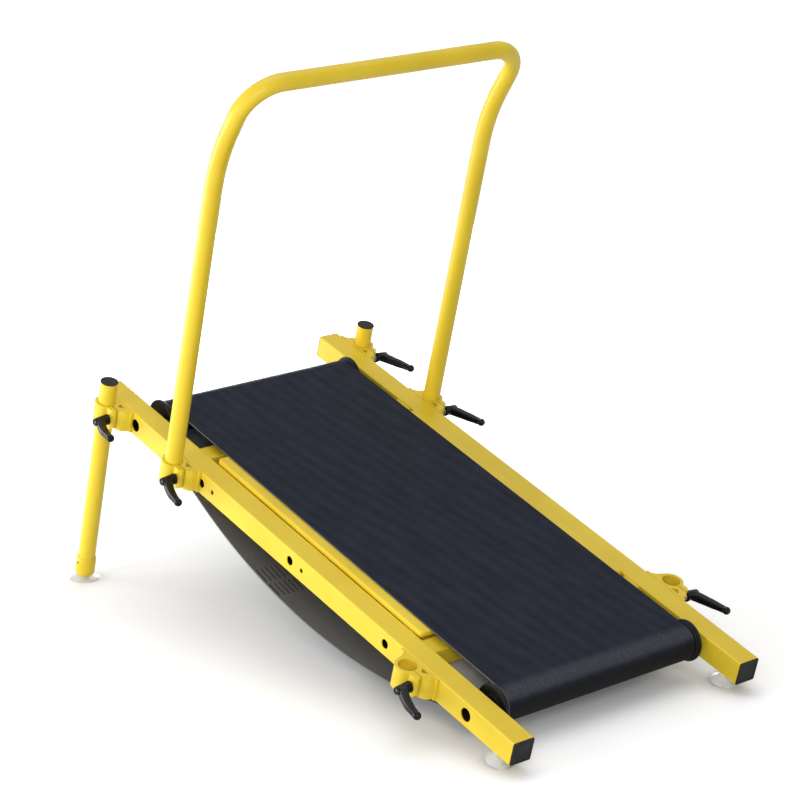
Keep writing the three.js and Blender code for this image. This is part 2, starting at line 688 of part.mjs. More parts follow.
function leverArm() {
  const lean = Math.atan2(ARM_RISE, ARM_LENGTH);
  const ring = (share, halfWidth, halfHeight) => ({
    centre: new THREE.Vector3(
      ARM_ROOT + ARM_RISE * share + ARM_BOW * Math.sin(Math.PI * Math.min(share, 1)),
      -ARM_LENGTH * share,
      0,
    ),
    halfWidth,
    halfHeight,
    turn: -lean,
  });
  const neckShare = ARM_RING_SHARES[ARM_RING_SHARES.length - 1];
  const rings = ARM_RING_SHARES.map((share) => {
    const taper = share / neckShare;
    return ring(
      share,
      THREE.MathUtils.lerp(ARM_ROOT_HALF_WIDTH, ARM_NECK_RADIUS, taper),
      THREE.MathUtils.lerp(ARM_ROOT_HALF_HEIGHT, ARM_NECK_RADIUS, taper),
    );
  });
  const knobShare = KNOB_RADIUS / Math.hypot(ARM_LENGTH, ARM_RISE);
  const neckAngle = Math.asin(ARM_NECK_RADIUS / KNOB_RADIUS);
  for (let i = 0; i <= KNOB_STEPS; i += 1) {
    const angle = THREE.MathUtils.lerp(neckAngle, THREE.MathUtils.degToRad(KNOB_END_ANGLE), i / KNOB_STEPS);
    const radius = KNOB_RADIUS * Math.sin(angle);
    rings.push(ring(1 - knobShare * Math.cos(angle), radius, radius));
  }
  return solid(loft(rings, SMALL_SIDES));
}

function clampLever() {
  const boreWall = STUD_RADIUS + SEAT;
  const hub = turnedAcross(
    [
      [HUB_BORE_DEPTH, 0],
      [HUB_BORE_DEPTH, boreWall],
      [0, boreWall],
      [0, HUB_RADIUS - HUB_CHAMFER],
      [HUB_CHAMFER, HUB_RADIUS],
      [HUB_LENGTH - HUB_CHAMFER, HUB_RADIUS - HUB_TAPER],
      [HUB_LENGTH, HUB_RADIUS - HUB_TAPER - HUB_CHAMFER],
      [HUB_LENGTH, 0],
    ],
    TUBE_SIDES,
  );
  const stemHole = rodAcross(boreWall, -OVERRUN, HUB_BORE_DEPTH, 0, 0);
  return cut(join(hub, leverArm()), stemHole);
}

function clampStud() {
  const inner = BORE_OFFSET - SLIT_WIDTH / 2 - STUD_GRIP - hubStart;
  const collarFace = -SEAT - STUD_COLLAR_THICKNESS;
  return turnedAcross(
    [
      [inner, 0],
      [inner, STUD_RADIUS],
      [collarFace, STUD_RADIUS],
      [collarFace, STUD_COLLAR_RADIUS],
      [-SEAT, STUD_COLLAR_RADIUS],
      [-SEAT, STUD_RADIUS],
      [HUB_BORE_DEPTH - SEAT, STUD_RADIUS],
      [HUB_BORE_DEPTH - SEAT, 0],
    ],
    SMALL_SIDES,
  );
}

// Front leg about its own axis, heights from the rails' top

function legTube() {
  const bottom = BOOT_FLOOR + socketRadius + SEAT - BALL_DROP;
  return cut(
    rodUp(TUBE_RADIUS, bottom, LEG_STAND, 0, 0, TUBE_SIDES),
    rodUp(TUBE_RADIUS - TUBE_WALL, bottom - OVERRUN, LEG_STAND + OVERRUN, 0, 0, TUBE_SIDES),
  );
}

function legCap() {
  const seat = LEG_STAND + SEAT;
  const top = seat + LEG_CAP_THICKNESS;
  const plug = TUBE_RADIUS - TUBE_WALL - 2 * SEAT;
  const rim = TUBE_RADIUS + LEG_CAP_LIP;
  return turnedUp(
    [
      [LEG_STAND - LEG_CAP_PLUG, 0],
      [LEG_STAND - LEG_CAP_PLUG, plug],
      [seat, plug],
      [seat, rim],
      [top - LEG_CAP_THICKNESS / 2, rim],
      [top, rim - LEG_CAP_THICKNESS / 2],
      [top, 0],
    ],
    TUBE_SIDES,
  );
}

// Boot on a leg's lower end, about the ball's centre: a sleeve over the tube and a socket for the ball
function legBoot() {
  const sleeve = TUBE_RADIUS + 2 * SEAT;
  const mouth = BOOT_MOUTH_RADIUS;
  const stemAngle = THREE.MathUtils.radToDeg(Math.asin(STEM_RADIUS / BALL_RADIUS));
  const lipAngle = 180 - FOOT_TILT - stemAngle - BOOT_LIP_PLAY;
  const shoulder = BOOT_RADIUS - BOOT_END_RADIUS;
  const dome = Array.from({ length: DOME_STEPS + 1 }, (_, i) => {
    const angle = ((Math.PI / 2) * i) / DOME_STEPS;
    return [-BOOT_DOME * Math.cos(angle), BOOT_END_RADIUS + shoulder * Math.sin(angle)];
  });
  return turnedUp(
    [
      ...arcProfile(0, socketRadius, 0, lipAngle, BALL_STEPS),
      [-BOOT_DOME, mouth],
      ...dome,
      [BOOT_LENGTH - BOOT_TAPER, BOOT_RADIUS],
      [BOOT_LENGTH, sleeve + BOOT_RIM],
      [BOOT_LENGTH, sleeve],
      [socketRadius + BOOT_FLOOR, sleeve],
      [socketRadius + BOOT_FLOOR, 0],
    ],
    TUBE_SIDES,
  );
}

// Suction foot of a leg, about the ball's centre: a flat cup pressed on the floor, a stem and the ball
function frontCup() {
  const floor = -BALL_HEIGHT;
  const stemAngle = 180 - THREE.MathUtils.radToDeg(Math.asin(STEM_RADIUS / BALL_RADIUS));
  const crown = CUP_CROWN_SHARES.map(([radius, height]) => [
    floor + height * BALL_HEIGHT,
    radius * CUP_RADIUS,
  ]);
  const stemFoot = floor + BALL_HEIGHT * STEM_FOOT_SHARE;
  return turnedUp(
    [
      [floor, 0],
      [floor, CUP_RADIUS],
      [floor + CUP_RIM, CUP_RADIUS],
      ...crown,
      [stemFoot, STEM_RADIUS],
      ...arcProfile(0, BALL_RADIUS, stemAngle, 0, BALL_STEPS),
    ],
    ROUND_SIDES,
  );
}

// Suction cup under a rail's rear end, heights from the rail's underside, its heel flat on the floor
function rearCup() {
  const outside = REAR_CUP_OUTSIDE_SHARES.map(([radius, height]) => [
    -height * REAR_CUP_HEIGHT,
    radius * CUP_RADIUS,
  ]);
  const cup = turnedUp(
    [
      [REAR_CUP_STUD_LENGTH, 0],
      [REAR_CUP_STUD_LENGTH, REAR_CUP_STUD_RADIUS],
      [-SEAT, REAR_CUP_STUD_RADIUS],
      [-SEAT, REAR_CUP_NECK_RADIUS],
      ...outside,
      [-REAR_CUP_HEIGHT + CUP_RIM, CUP_RADIUS],
      [-REAR_CUP_HEIGHT, CUP_RADIUS],
      [-REAR_CUP_HEIGHT, CUP_RADIUS - REAR_CUP_LIP],
      [-REAR_CUP_HEIGHT * REAR_CUP_HOLLOW_SHARE, 0],
    ],
    ROUND_SIDES,
  );
  const cupWidth = 2 * CUP_RADIUS;
  const floor = new THREE.BoxGeometry(2 * cupWidth, 2 * cupWidth, CUP_RADIUS);
  floor.translate(0, 0, -CUP_RADIUS / 2);
  floor.rotateX(-incline);
  const lift = HEEL_FLAT / Math.cos(incline);
  floor.translate(0, -CUP_RADIUS, lift - REAR_CUP_HEIGHT);
  return cut(cup, solid(floor));
}

// Handrail: one bent tube, as stations with their directions, so that rings fall only where it bends

class BentTube extends THREE.Curve {
  constructor(stations) {
    super();
    this.stations = stations;
  }

  at(share) {
    return this.stations[Math.round(share * (this.stations.length - 1))];
  }

  getPointAt(share, target = new THREE.Vector3()) {
    return target.copy(this.at(share).point);
  }

  getTangentAt(share, target = new THREE.Vector3()) {
    return target.copy(this.at(share).direction);
  }
}

// Stations of the right half, from the post's foot up to the middle of the crossbar
function handrailStations(footOverrun) {
  const back = THREE.MathUtils.degToRad(HANDRAIL_BACK_ANGLE);
  const upper = new THREE.Vector3(0, -Math.sin(back), Math.cos(back));
  const up = new THREE.Vector3(0, 0, 1);
  const inward = new THREE.Vector3(-1, 0, 0);
  const foot = collarTop - COLLAR_HEIGHT - footOverrun;
  const stations = [{ point: new THREE.Vector3(tubeX, 0, foot), direction: up }];
  for (let i = 0; i <= POST_BEND_STEPS; i += 1) {
    const angle = (back * i) / POST_BEND_STEPS;
    const point = new THREE.Vector3(
      tubeX,
      -HANDRAIL_BACK_RADIUS * (1 - Math.cos(angle)),
      HANDRAIL_STRAIGHT + HANDRAIL_BACK_RADIUS * Math.sin(angle),
    );
    const direction = new THREE.Vector3(0, -Math.sin(angle), Math.cos(angle));
    stations.push({ point, direction });
  }
  const cornerFoot = stations[stations.length - 1].point.clone().addScaledVector(upper, HANDRAIL_UPPER);
  for (let i = 0; i <= CORNER_BEND_STEPS; i += 1) {
    const angle = ((Math.PI / 2) * i) / CORNER_BEND_STEPS;
    const point = cornerFoot
      .clone()
      .addScaledVector(inward, HANDRAIL_CORNER * (1 - Math.cos(angle)))
      .addScaledVector(upper, HANDRAIL_CORNER * Math.sin(angle));
    const direction = upper.clone().multiplyScalar(Math.cos(angle)).addScaledVector(inward, Math.sin(angle));
    stations.push({ point, direction });
  }
  return stations;
}

function bentRod(radius, footOverrun, sides) {
  const right = handrailStations(footOverrun);
  const left = right.map(({ point, direction }) => ({
    point: point.clone().setX(-point.x),
    direction: new THREE.Vector3(direction.x, -direction.y, -direction.z),
  }));
  const stations = [...right, ...left.reverse()];
  const circle = new THREE.Shape();
  circle.absarc(0, 0, radius, 0, 2 * Math.PI, false);
  return solid(
    new THREE.ExtrudeGeometry(circle, {
      extrudePath: new BentTube(stations),
      steps: stations.length - 1,
      curveSegments: sides / 2,
    }),
  );
}

function handrail() {
  return cut(bentRod(TUBE_RADIUS, 0, TUBE_SIDES), bentRod(TUBE_RADIUS - TUBE_WALL, OVERRUN, BORE_SIDES));
}

// Assembly

const deckFrame = new THREE.Group();

function addSide(side, sign) {
  const group = new THREE.Group();
  group.scale.x = sign;
  deckFrame.add(group);

  add(group, `${side}_rail`, rail(), yellowPaint);
  const frontCap = add(group, `${side}_front_rail_cap`, railCap(), blackPlastic);
  frontCap.position.set(railX, RAIL_LENGTH, railZ);
  const rearCap = add(group, `${side}_rear_rail_cap`, railCap(), blackPlastic);
  rearCap.position.set(railX, 0, railZ);
  rearCap.rotation.z = Math.PI;

  Object.entries(clampStations).forEach(([place, station], i) => {
    const clamp = new THREE.Group();
    clamp.position.set(railOuterX, station, 0);
    group.add(clamp);
    add(clamp, `${side}_${place}_clamp`, clampCasting(), yellowPaint);
    const lever = new THREE.Group();
    lever.position.set(hubStart, -STUD_SETBACK, studZ);
    lever.rotation.x = THREE.MathUtils.degToRad(LEVER_ANGLES[side][i]);
    clamp.add(lever);
    add(lever, `${side}_${place}_clamp_lever`, clampLever(), leverBlack);
    add(lever, `${side}_${place}_clamp_stud`, clampStud(), steel);
  });

  const leg = new THREE.Group();
  leg.position.set(tubeX, clampStations.front, 0);
  group.add(leg);
  add(leg, `${side}_leg_tube`, legTube(), yellowPaint);
  add(leg, `${side}_leg_cap`, legCap(), blackPlastic);
  add(leg, `${side}_leg_boot`, legBoot(), yellowPaint).position.z = -BALL_DROP;
  const foot = add(leg, `${side}_front_suction_cup`, frontCup(), rubber);
  foot.position.z = -BALL_DROP;
  foot.rotation.x = -incline;
  const heel = add(group, `${side}_rear_suction_cup`, rearCup(), rubber);
  heel.position.set(railX, REAR_CUP_STATION, -RAIL_SIZE);

  for (const [place, station] of Object.entries(axleStations)) {
    const end = new THREE.Group();
    end.position.set(0, station, railZ);
    group.add(end);
    add(end, `${side}_${place}_bearing`, bearing(), steel);
    add(end, `${side}_${place}_axle_bolt`, axleBolt(), steel);
  }
}

addSide("right", 1);
addSide("left", -1);
add(deckFrame, "rear_cross_tube", crossTube(), yellowPaint).position.y = REAR_CROSS_STATION;
add(deckFrame, "front_cross_tube", crossTube(), yellowPaint).position.y = frontCrossStation;
for (const [place, station] of Object.entries(supportStations)) {
  add(deckFrame, `${place}_deck_support`, deckSupport(), yellowPaint).position.y = station;
}
for (const [place, station] of Object.entries(axleStations)) {
  add(deckFrame, `${place}_roller`, roller(), rollerBlack).position.set(0, station, railZ);
  add(deckFrame, `${place}_axle`, axle(), steel).position.set(0, station, railZ);
}
add(deckFrame, "deck_board", deckBoard(), yellowPaint);
add(deckFrame, "running_belt", runningBelt(), beltRubber);
add(deckFrame, "belly_pan", bellyPan(), panGrey);
add(deckFrame, "handrail", handrail(), yellowPaint).position.y = clampStations.middle;

// The origin lies on the floor under the middle of the whole treadmill.
deckFrame.rotation.x = incline;
const treadmill = new THREE.Group();
treadmill.add(deckFrame);
const extent = new THREE.Box3().setFromObject(treadmill, true);
const centre = extent.getCenter(new THREE.Vector3());
deckFrame.position.set(-centre.x, -centre.y, -extent.min.z);

export default treadmill;
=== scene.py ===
"""Looks of a manual pool treadmill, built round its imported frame.

Pieces are drawn in millimetres in the deck frame: x to the user's right, y forward from the rails' rear ends
and z square to the deck from the rails' top faces. DECK carries them into the row frame, in metres.
"""

import json
import math

import bmesh
import bpy
from mathutils import Matrix, Vector


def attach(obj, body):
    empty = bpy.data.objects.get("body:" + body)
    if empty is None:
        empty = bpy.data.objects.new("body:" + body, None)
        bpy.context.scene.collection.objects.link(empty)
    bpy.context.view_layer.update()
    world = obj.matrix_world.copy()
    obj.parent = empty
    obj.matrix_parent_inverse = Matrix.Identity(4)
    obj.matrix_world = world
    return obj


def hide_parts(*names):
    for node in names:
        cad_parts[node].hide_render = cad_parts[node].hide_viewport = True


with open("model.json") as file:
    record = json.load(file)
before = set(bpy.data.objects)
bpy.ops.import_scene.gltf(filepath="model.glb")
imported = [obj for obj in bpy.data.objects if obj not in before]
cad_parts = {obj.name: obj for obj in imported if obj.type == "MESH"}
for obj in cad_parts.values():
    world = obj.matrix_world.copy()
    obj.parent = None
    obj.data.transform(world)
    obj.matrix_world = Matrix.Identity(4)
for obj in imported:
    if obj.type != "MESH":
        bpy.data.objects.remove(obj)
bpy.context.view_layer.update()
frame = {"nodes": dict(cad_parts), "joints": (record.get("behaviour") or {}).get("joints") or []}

MM = 0.001

# Sizes of the model, in millimetres
FRAME_WIDTH = 654
RAIL_LENGTH = 1420
RAIL_SIZE = 52
RAIL_WALL = 3
RAIL_CORNER = 3.5
AXLE_INSET = 137
SUPPORT_INSET = 391
CROSS_WIDTH, CROSS_HEIGHT, CROSS_WALL, CROSS_CORNER, CROSS_DROP = 45, 42, 3, 4, 5.5
REAR_CROSS_STATION, FRONT_CROSS_STATION = 327, 1101
ROLLER_RADIUS, ROLLER_FLANGE_RADIUS, ROLLER_FLANGE_THICKNESS = 35, 44, 12
BELT_WIDTH, BELT_THICKNESS = 498, 3
DECK_WIDTH, DECK_THICKNESS, DECK_REAR, DECK_FRONT = 546, 14, 352, 1054
PAN_WIDTH = 530
PAN_THICKNESS, PAN_RADIUS, PAN_DEPTH, PAN_REAR = 3.2, 1290, 192, 192
PAN_LUG_LENGTH, PAN_LUG_THICKNESS, PAN_LUG_TOP = 40, 3, 16
SLOT_LENGTH, SLOT_WIDTH, SLOT_PITCH, SLOT_BRIDGE, SLOT_ROWS = 42, 2.4, 12, 8, 7
SLOT_MARGIN, SLOT_FIELD_FRONT = 6, 887
TUBE_RADIUS, TUBE_WALL = 19, 2.5
BORE_OFFSET = 27
STATIONS = {"front": 1360, "middle": 1099, "rear": 289}
COLLAR_WALL, COLLAR_HEIGHT, COLLAR_DROP = 6.5, 48, 1
SLIT_WIDTH, EAR_REACH, EAR_THICKNESS, EAR_CHAMFER = 2.4, 43, 12, 6
FOOT_FLANGE, FRONT_FLANGE_REACH, REAR_FLANGE_REACH, FLANGE_LIP = 5, 50, 66, 5
WEB_ANGLE = 70
SHOULDER_REACH, SHOULDER_WIDTH, SHOULDER_STEP, SHOULDER_BULGE = 58, 12, 2, 5
STUD_SETBACK, STUD_RADIUS = 33.5, 4
STUD_COLLAR_THICKNESS = 2
HUB_LENGTH, HUB_INNER_RADIUS, HUB_OUTER_RADIUS = 35, 12, 8.5
ARM_LENGTH, ARM_ROOT, ARM_RISE, ARM_BOW, ARM_SAG = 79, 19, 26, 4, 2
KNOB_RADIUS = 8.6
LEVER_ANGLES = {"left": (-5, 1, 1), "right": (-3, -3, -1)}
LEG_STAND, LEG_CAP_THICKNESS, BALL_DROP = 47, 2, 440
BOOT_RADIUS, BOOT_LENGTH, BOOT_DOME, BOOT_END_RADIUS, BOOT_MOUTH_RADIUS = 22, 36, 11.5, 15, 12.6
BALL_RADIUS, BALL_HEIGHT, STEM_RADIUS = 10.5, 21.9, 5.2
CUP_RADIUS, REAR_CUP_STATION, REAR_CUP_HEIGHT, HEEL_FLAT = 34, 50, 28, 0.8
HANDRAIL_STRAIGHT, HANDRAIL_BACK_ANGLE, HANDRAIL_BACK_RADIUS = 632, 19.8, 400
HANDRAIL_UPPER, HANDRAIL_CORNER = 48, 81
SEAT = 0.3
OVERRUN = 2

# Places worked out from the sizes
RAIL_OUTER = FRAME_WIDTH / 2
RAIL_INNER = RAIL_OUTER - RAIL_SIZE
RAIL_X = (RAIL_OUTER + RAIL_INNER) / 2
RAIL_Z = -RAIL_SIZE / 2
TUBE_X = RAIL_OUTER + BORE_OFFSET
AXLES = {"front": RAIL_LENGTH - AXLE_INSET, "rear": AXLE_INSET}
SUPPORTS = {
    "rear": SUPPORT_INSET,
    "middle": RAIL_LENGTH / 2,
    "front": RAIL_LENGTH - SUPPORT_INSET,
}
DECK_TOP = RAIL_Z + ROLLER_RADIUS
COLLAR_TOP = -COLLAR_DROP
STUD_Z = COLLAR_TOP - COLLAR_HEIGHT / 2
COLLAR_RADIUS = TUBE_RADIUS + 0.5 + COLLAR_WALL
EAR_FACE = BORE_OFFSET + SLIT_WIDTH / 2 + EAR_THICKNESS
HUB_START = EAR_FACE + SEAT + STUD_COLLAR_THICKNESS + SEAT

# The deck frame, from the joints
joints = {joint["name"]: joint for joint in frame["joints"]}
rear_axle = Vector(joints["rear_roller_spin"]["pos_m"])
front_axle = Vector(joints["front_roller_spin"]["pos_m"])
up = Vector(joints["handrail_lift"]["axis"]).normalized()
forward = (front_axle - rear_axle).normalized()
corner = rear_axle - forward * AXLE_INSET * MM - up * RAIL_Z * MM
TURN = Matrix(((1, 0, 0), (0, forward.y, up.y), (0, forward.z, up.z))).to_4x4()
DECK = Matrix.Translation(corner) @ TURN @ Matrix.Scale(MM, 4)
INCLINE = math.atan2(forward.z, forward.y)
HERE = Matrix.Identity(4)
SIDES = {"right": HERE, "left": Matrix.Scale(-1, 4, Vector((1, 0, 0)))}


def at(x, y, z):
    return Matrix.Translation((x, y, z))


# Outlines, as lists of points


def arc(x, y, radius, start, end, steps):
    angles = [math.radians(start + (end - start) * i / steps) for i in range(steps + 1)]
    return [(x + radius * math.cos(a), y + radius * math.sin(a)) for a in angles]


def bezier(p0, p1, p2, p3, steps):
    points = []
    for i in range(steps + 1):
        t = i / steps
        weights = ((1 - t) ** 3, 3 * t * (1 - t) ** 2, 3 * t * t * (1 - t), t ** 3)
        points.append(tuple(sum(w * p[k] for w, p in zip(weights, (p0, p1, p2, p3))) for k in (0, 1)))
    return points


def bent(p0, handle, p2, steps):
    """A curve with one handle."""
    first = tuple(a + 2 / 3 * (h - a) for a, h in zip(p0, handle))
    second = tuple(b + 2 / 3 * (h - b) for b, h in zip(p2, handle))
    return bezier(p0, first, second, p2, steps)


def rounded(width, height, radius, x=0, y=0, steps=6):
    points = []
    for quarter, (sx, sy) in enumerate(((1, -1), (1, 1), (-1, 1), (-1, -1))):
        centre = (x + sx * (width / 2 - radius), y + sy * (height / 2 - radius))
        points += arc(*centre, radius, 90 * quarter - 90, 90 * quarter, steps)
    return points


# Closed meshes, in millimetres

UP, ACROSS, ALONG = "up", "across", "along"
LIFTS = {
    UP: lambda u, v, w: (u, v, w),  # drawn in (x, y), run along z
    ACROSS: lambda u, v, w: (w, u, v),  # drawn in (y, z), run along x
    ALONG: lambda u, v, w: (u, w, v),  # drawn in (x, z), run along y
}


def outward(bm):
    bmesh.ops.recalc_face_normals(bm, faces=bm.faces)
    return bm


def stack(rings, closed=False):
    """Rings with as many points each, joined in turn. The two ends are filled unless the stack closes."""
    bm = bmesh.new()
    rows = [[bm.verts.new(p) for p in ring] for ring in rings]
    pairs = list(zip(rows, rows[1:])) + ([(rows[-1], rows[0])] if closed else [])
    for low, high in pairs:
        for i in range(len(low)):
            j = (i + 1) % len(low)
            bm.faces.new((low[i], low[j], high[j], high[i]))
    if not closed:
        bm.faces.new(rows[0])
        bm.faces.new(rows[-1])
    return outward(bm)


def prism(outline, low, high, run=UP):
    lift = LIFTS[run]
    return stack([[lift(u, v, w) for u, v in outline] for w in (low, high)])


def block(x0, x1, y0, y1, z0, z1):
    return prism([(x0, y0), (x1, y0), (x1, y1), (x0, y1)], z0, z1)


def rod(radius, low, high, u=0, v=0, run=UP, sides=48):
    return prism(arc(u, v, radius, 0, 360, sides)[:-1], low, high, run)


def turned(profile, run=UP, sides=64):
    """(place on the axis, radius) points turned round it. A profile off the axis closes on itself."""
    lift = LIFTS[run]
    bm = bmesh.new()
    rows = []
    for axial, radius in profile:
        if radius == 0:
            rows.append([bm.verts.new(lift(0, 0, axial))] * sides)
        else:
            rows.append([bm.verts.new(lift(u, v, axial)) for u, v in arc(0, 0, radius, 0, 360, sides)[:-1]])
    whole = profile[0][1] > 0
    for low, high in list(zip(rows, rows[1:])) + ([(rows[-1], rows[0])] if whole else []):
        for i in range(sides):
            j = (i + 1) % sides
            corners = dict.fromkeys((low[i], low[j], high[j], high[i]))
            if len(corners) > 2:
                bm.faces.new(corners)
    return outward(bm)


def ball_profile(centre, radius, start, end, steps):
    angles = [math.radians(start + (end - start) * i / steps) for i in range(steps + 1)]
    points = [(centre + radius * math.cos(a), radius * math.sin(a)) for a in angles]
    return [(axial, 0 if r < 1e-6 else r) for axial, r in points]


def together(*parts):
    """Closed meshes that don't touch, as one."""
    joined = bmesh.new()
    for part in parts:
        mesh = bpy.data.meshes.new("part")
        part.to_mesh(mesh)
        part.free()
        joined.from_mesh(mesh)
        bpy.data.meshes.remove(mesh)
    return joined


def scratch(bm):
    mesh = bpy.data.meshes.new("scratch")
    bm.to_mesh(mesh)
    bm.free()
    obj = bpy.data.objects.new("scratch", mesh)
    bpy.context.scene.collection.objects.link(obj)
    return obj


def discard(obj):
    mesh = obj.data
    bpy.data.objects.remove(obj)
    bpy.data.meshes.remove(mesh)


def settled(obj):
    """The object's mesh with its modifiers applied."""
    bpy.context.view_layer.update()
    graph = bpy.context.evaluated_depsgraph_get()
    return bpy.data.meshes.new_from_object(obj.evaluated_get(graph))


def combined(bm, tools, operation):
    body = scratch(bm)
    cutters = [scratch(tool) for tool in tools]
    for cutter in cutters:
        modifier = body.modifiers.new("combine", "BOOLEAN")
        modifier.operation = operation
        modifier.solver = "EXACT"
        modifier.object = cutter
    mesh = settled(body)
    result = bmesh.new()
    result.from_mesh(mesh)
    bpy.data.meshes.remove(mesh)
    for obj in [body, *cutters]:
        discard(obj)
    return result


def cut(bm, *tools):
    return combined(bm, tools, "DIFFERENCE")


def fuse(bm, *tools):
    return combined(bm, tools, "UNION")


# Pieces


def piece(name, bm, look, body, place=HERE, bevel=0, stands_for=(), segments=3, sharp=38, second=None):
    """Puts a mesh drawn in millimetres in its place, rounds its edges and lets it ride on its body.

    A second look, given as (look, test), goes on the faces whose centre passes the test."""
    material, slot = look
    whole = DECK @ place
    bm.transform(whole)
    if whole.determinant() < 0:
        bmesh.ops.reverse_faces(bm, faces=bm.faces)
    mesh = bpy.data.meshes.new(name)
    bm.to_mesh(mesh)
    bm.free()
    mesh.materials.append(material)
    obj = bpy.data.objects.new(name, mesh)
    bpy.context.scene.collection.objects.link(obj)
    mesh.polygons.foreach_set("use_smooth", [True] * len(mesh.polygons))
    if bevel:
        edge = obj.modifiers.new("edge", "BEVEL")
        edge.width = bevel * MM
        edge.segments = segments
        edge.limit_method = "ANGLE"
        edge.angle_limit = math.radians(sharp)
        edge.use_clamp_overlap = True
        weigh = obj.modifiers.new("weigh", "WEIGHTED_NORMAL")
        weigh.keep_sharp = True
        obj.data = settled(obj)
        obj.modifiers.clear()
        bpy.data.meshes.remove(mesh)
        obj.data.name = name
    else:
        mesh.set_sharp_from_angle(angle=math.radians(sharp))
    if second:
        other, test = second
        obj.data.materials.append(other[0])
        back = whole.inverted()
        for face in obj.data.polygons:
            if test(back @ face.center):
                face.material_index = 1
    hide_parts(*stands_for)
    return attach(obj, body)


# Materials


def srgb(red, green, blue):
    """A colour written as 0 to 255, as Blender's linear values."""
    values = (c / 255 for c in (red, green, blue))
    return (*((v / 12.92 if v <= 0.04045 else ((v + 0.055) / 1.055) ** 2.4) for v in values), 1)


class Look:
    """A Principled material with procedural colour, roughness and relief."""

    def __init__(self, name, roughness, metallic=0.0, **sockets):
        self.material = bpy.data.materials.new(name)
        self.material.use_nodes = True
        self.tree = self.material.node_tree
        self.shader = self.tree.nodes["Principled BSDF"]
        self.shader.inputs["Roughness"].default_value = roughness
        self.shader.inputs["Metallic"].default_value = metallic
        for socket, value in sockets.items():
            self.shader.inputs[socket.replace("_", " ")].default_value = value
        self.place = self.node("ShaderNodeTexCoord").outputs["Object"]

    def node(self, kind, **settings):
        node = self.tree.nodes.new(kind)
        for name, value in settings.items():
            setattr(node, name, value)
        return node

    def link(self, source, target):
        self.tree.links.new(source, target)

    def noise(self, scale, detail=3.0, roughness=0.5, stretch=None, place=None):
        node = self.node("ShaderNodeTexNoise")
        node.inputs["Scale"].default_value = scale
        node.inputs["Detail"].default_value = detail
        node.inputs["Roughness"].default_value = roughness
        source = place or self.place
        if stretch:
            mapping = self.node("ShaderNodeMapping")
            mapping.inputs["Scale"].default_value = stretch
            self.link(source, mapping.inputs["Vector"])
            source = mapping.outputs["Vector"]
        self.link(source, node.inputs["Vector"])
        return node.outputs["Fac"]

    def ramp(self, value, *stops):
        """Colours at places along a value, as (place, colour) stops."""
        node = self.node("ShaderNodeValToRGB")
        elements = node.color_ramp.elements
        for element, (position, colour) in zip(elements, stops):
            element.position, element.color = position, colour
        for position, colour in stops[2:]:
            elements.new(position).color = colour
        self.link(value, node.inputs["Fac"])
        return node.outputs["Color"]

    def spread(self, value, low, high):
        """A 0 to 1 value spread from low to high."""
        node = self.node("ShaderNodeMapRange")
        node.inputs["To Min"].default_value = low
        node.inputs["To Max"].default_value = high
        self.link(value, node.inputs["Value"])
        return node.outputs["Result"]

    def mix(self, factor, first, second, blend="MIX"):
        node = self.node("ShaderNodeMix", data_type="RGBA", blend_type=blend)
        for socket, value in ((0, factor), (6, first), (7, second)):
            if isinstance(value, (int, float, tuple)):
                node.inputs[socket].default_value = value
            else:
                self.link(value, node.inputs[socket])
        return node.outputs[2]

    def window(self, value, start, full, fade, end):
        """0 outside start and end, 1 from full to fade."""
        rise = self.node("ShaderNodeMapRange")
        fall = self.node("ShaderNodeMapRange")
        for node, low, high in ((rise, start, full), (fall, end, fade)):
            node.inputs["From Min"].default_value = low
            node.inputs["From Max"].default_value = high
            self.link(value, node.inputs["Value"])
        both = self.node("ShaderNodeMath", operation="MULTIPLY")
        self.link(rise.outputs["Result"], both.inputs[0])
        self.link(fall.outputs["Result"], both.inputs[1])
        return both.outputs["Value"]

    def turned_place(self, source, degrees, stretch):
        mapping = self.node("ShaderNodeMapping")
        mapping.inputs["Rotation"].default_value = [math.radians(angle) for angle in degrees]
        mapping.inputs["Scale"].default_value = stretch
        self.link(source, mapping.inputs["Vector"])
        return mapping.outputs["Vector"]

    def painted_edge_highlight(self, low=0.52, high=0.6):
        """1 on convex edges, 0 elsewhere: the mask for a painted highlight."""
        point = self.node("ShaderNodeNewGeometry").outputs["Pointiness"]
        node = self.node("ShaderNodeMapRange")
        node.inputs["From Min"].default_value = low
        node.inputs["From Max"].default_value = high
        self.link(point, node.inputs["Value"])
        return node.outputs["Result"]

    def colour(self, source):
        self.link(source, self.shader.inputs["Base Color"])

    def roughness(self, source):
        self.link(source, self.shader.inputs["Roughness"])

    def relief(self, height, strength, distance, below=None):
        node = self.node("ShaderNodeBump")
        node.inputs["Strength"].default_value = strength
        node.inputs["Distance"].default_value = distance
        self.link(height, node.inputs["Height"])
        if below:
            self.link(below, node.inputs["Normal"])
        self.link(node.outputs["Normal"], self.shader.inputs["Normal"])
        return node.outputs["Normal"]


def powder_coat(name, tones, slot):
    look = Look(name, 0.36, Specular_IOR_Level=0.3, Coat_Weight=0.06, Coat_Roughness=0.25)
    light, mid, deep = (srgb(*tone) for tone in tones)
    body = look.ramp(look.noise(5.0, 4.0), (0.35, deep), (0.65, light), (0.5, mid))
    # Convex edges take the light tone, a painted highlight.
    look.colour(look.mix(look.painted_edge_highlight(), body, light))
    look.roughness(look.spread(look.noise(60.0, 2.0), 0.34, 0.46))
    look.relief(look.noise(1400.0, 2.0), 0.05, 0.0002)
    return look.material, slot


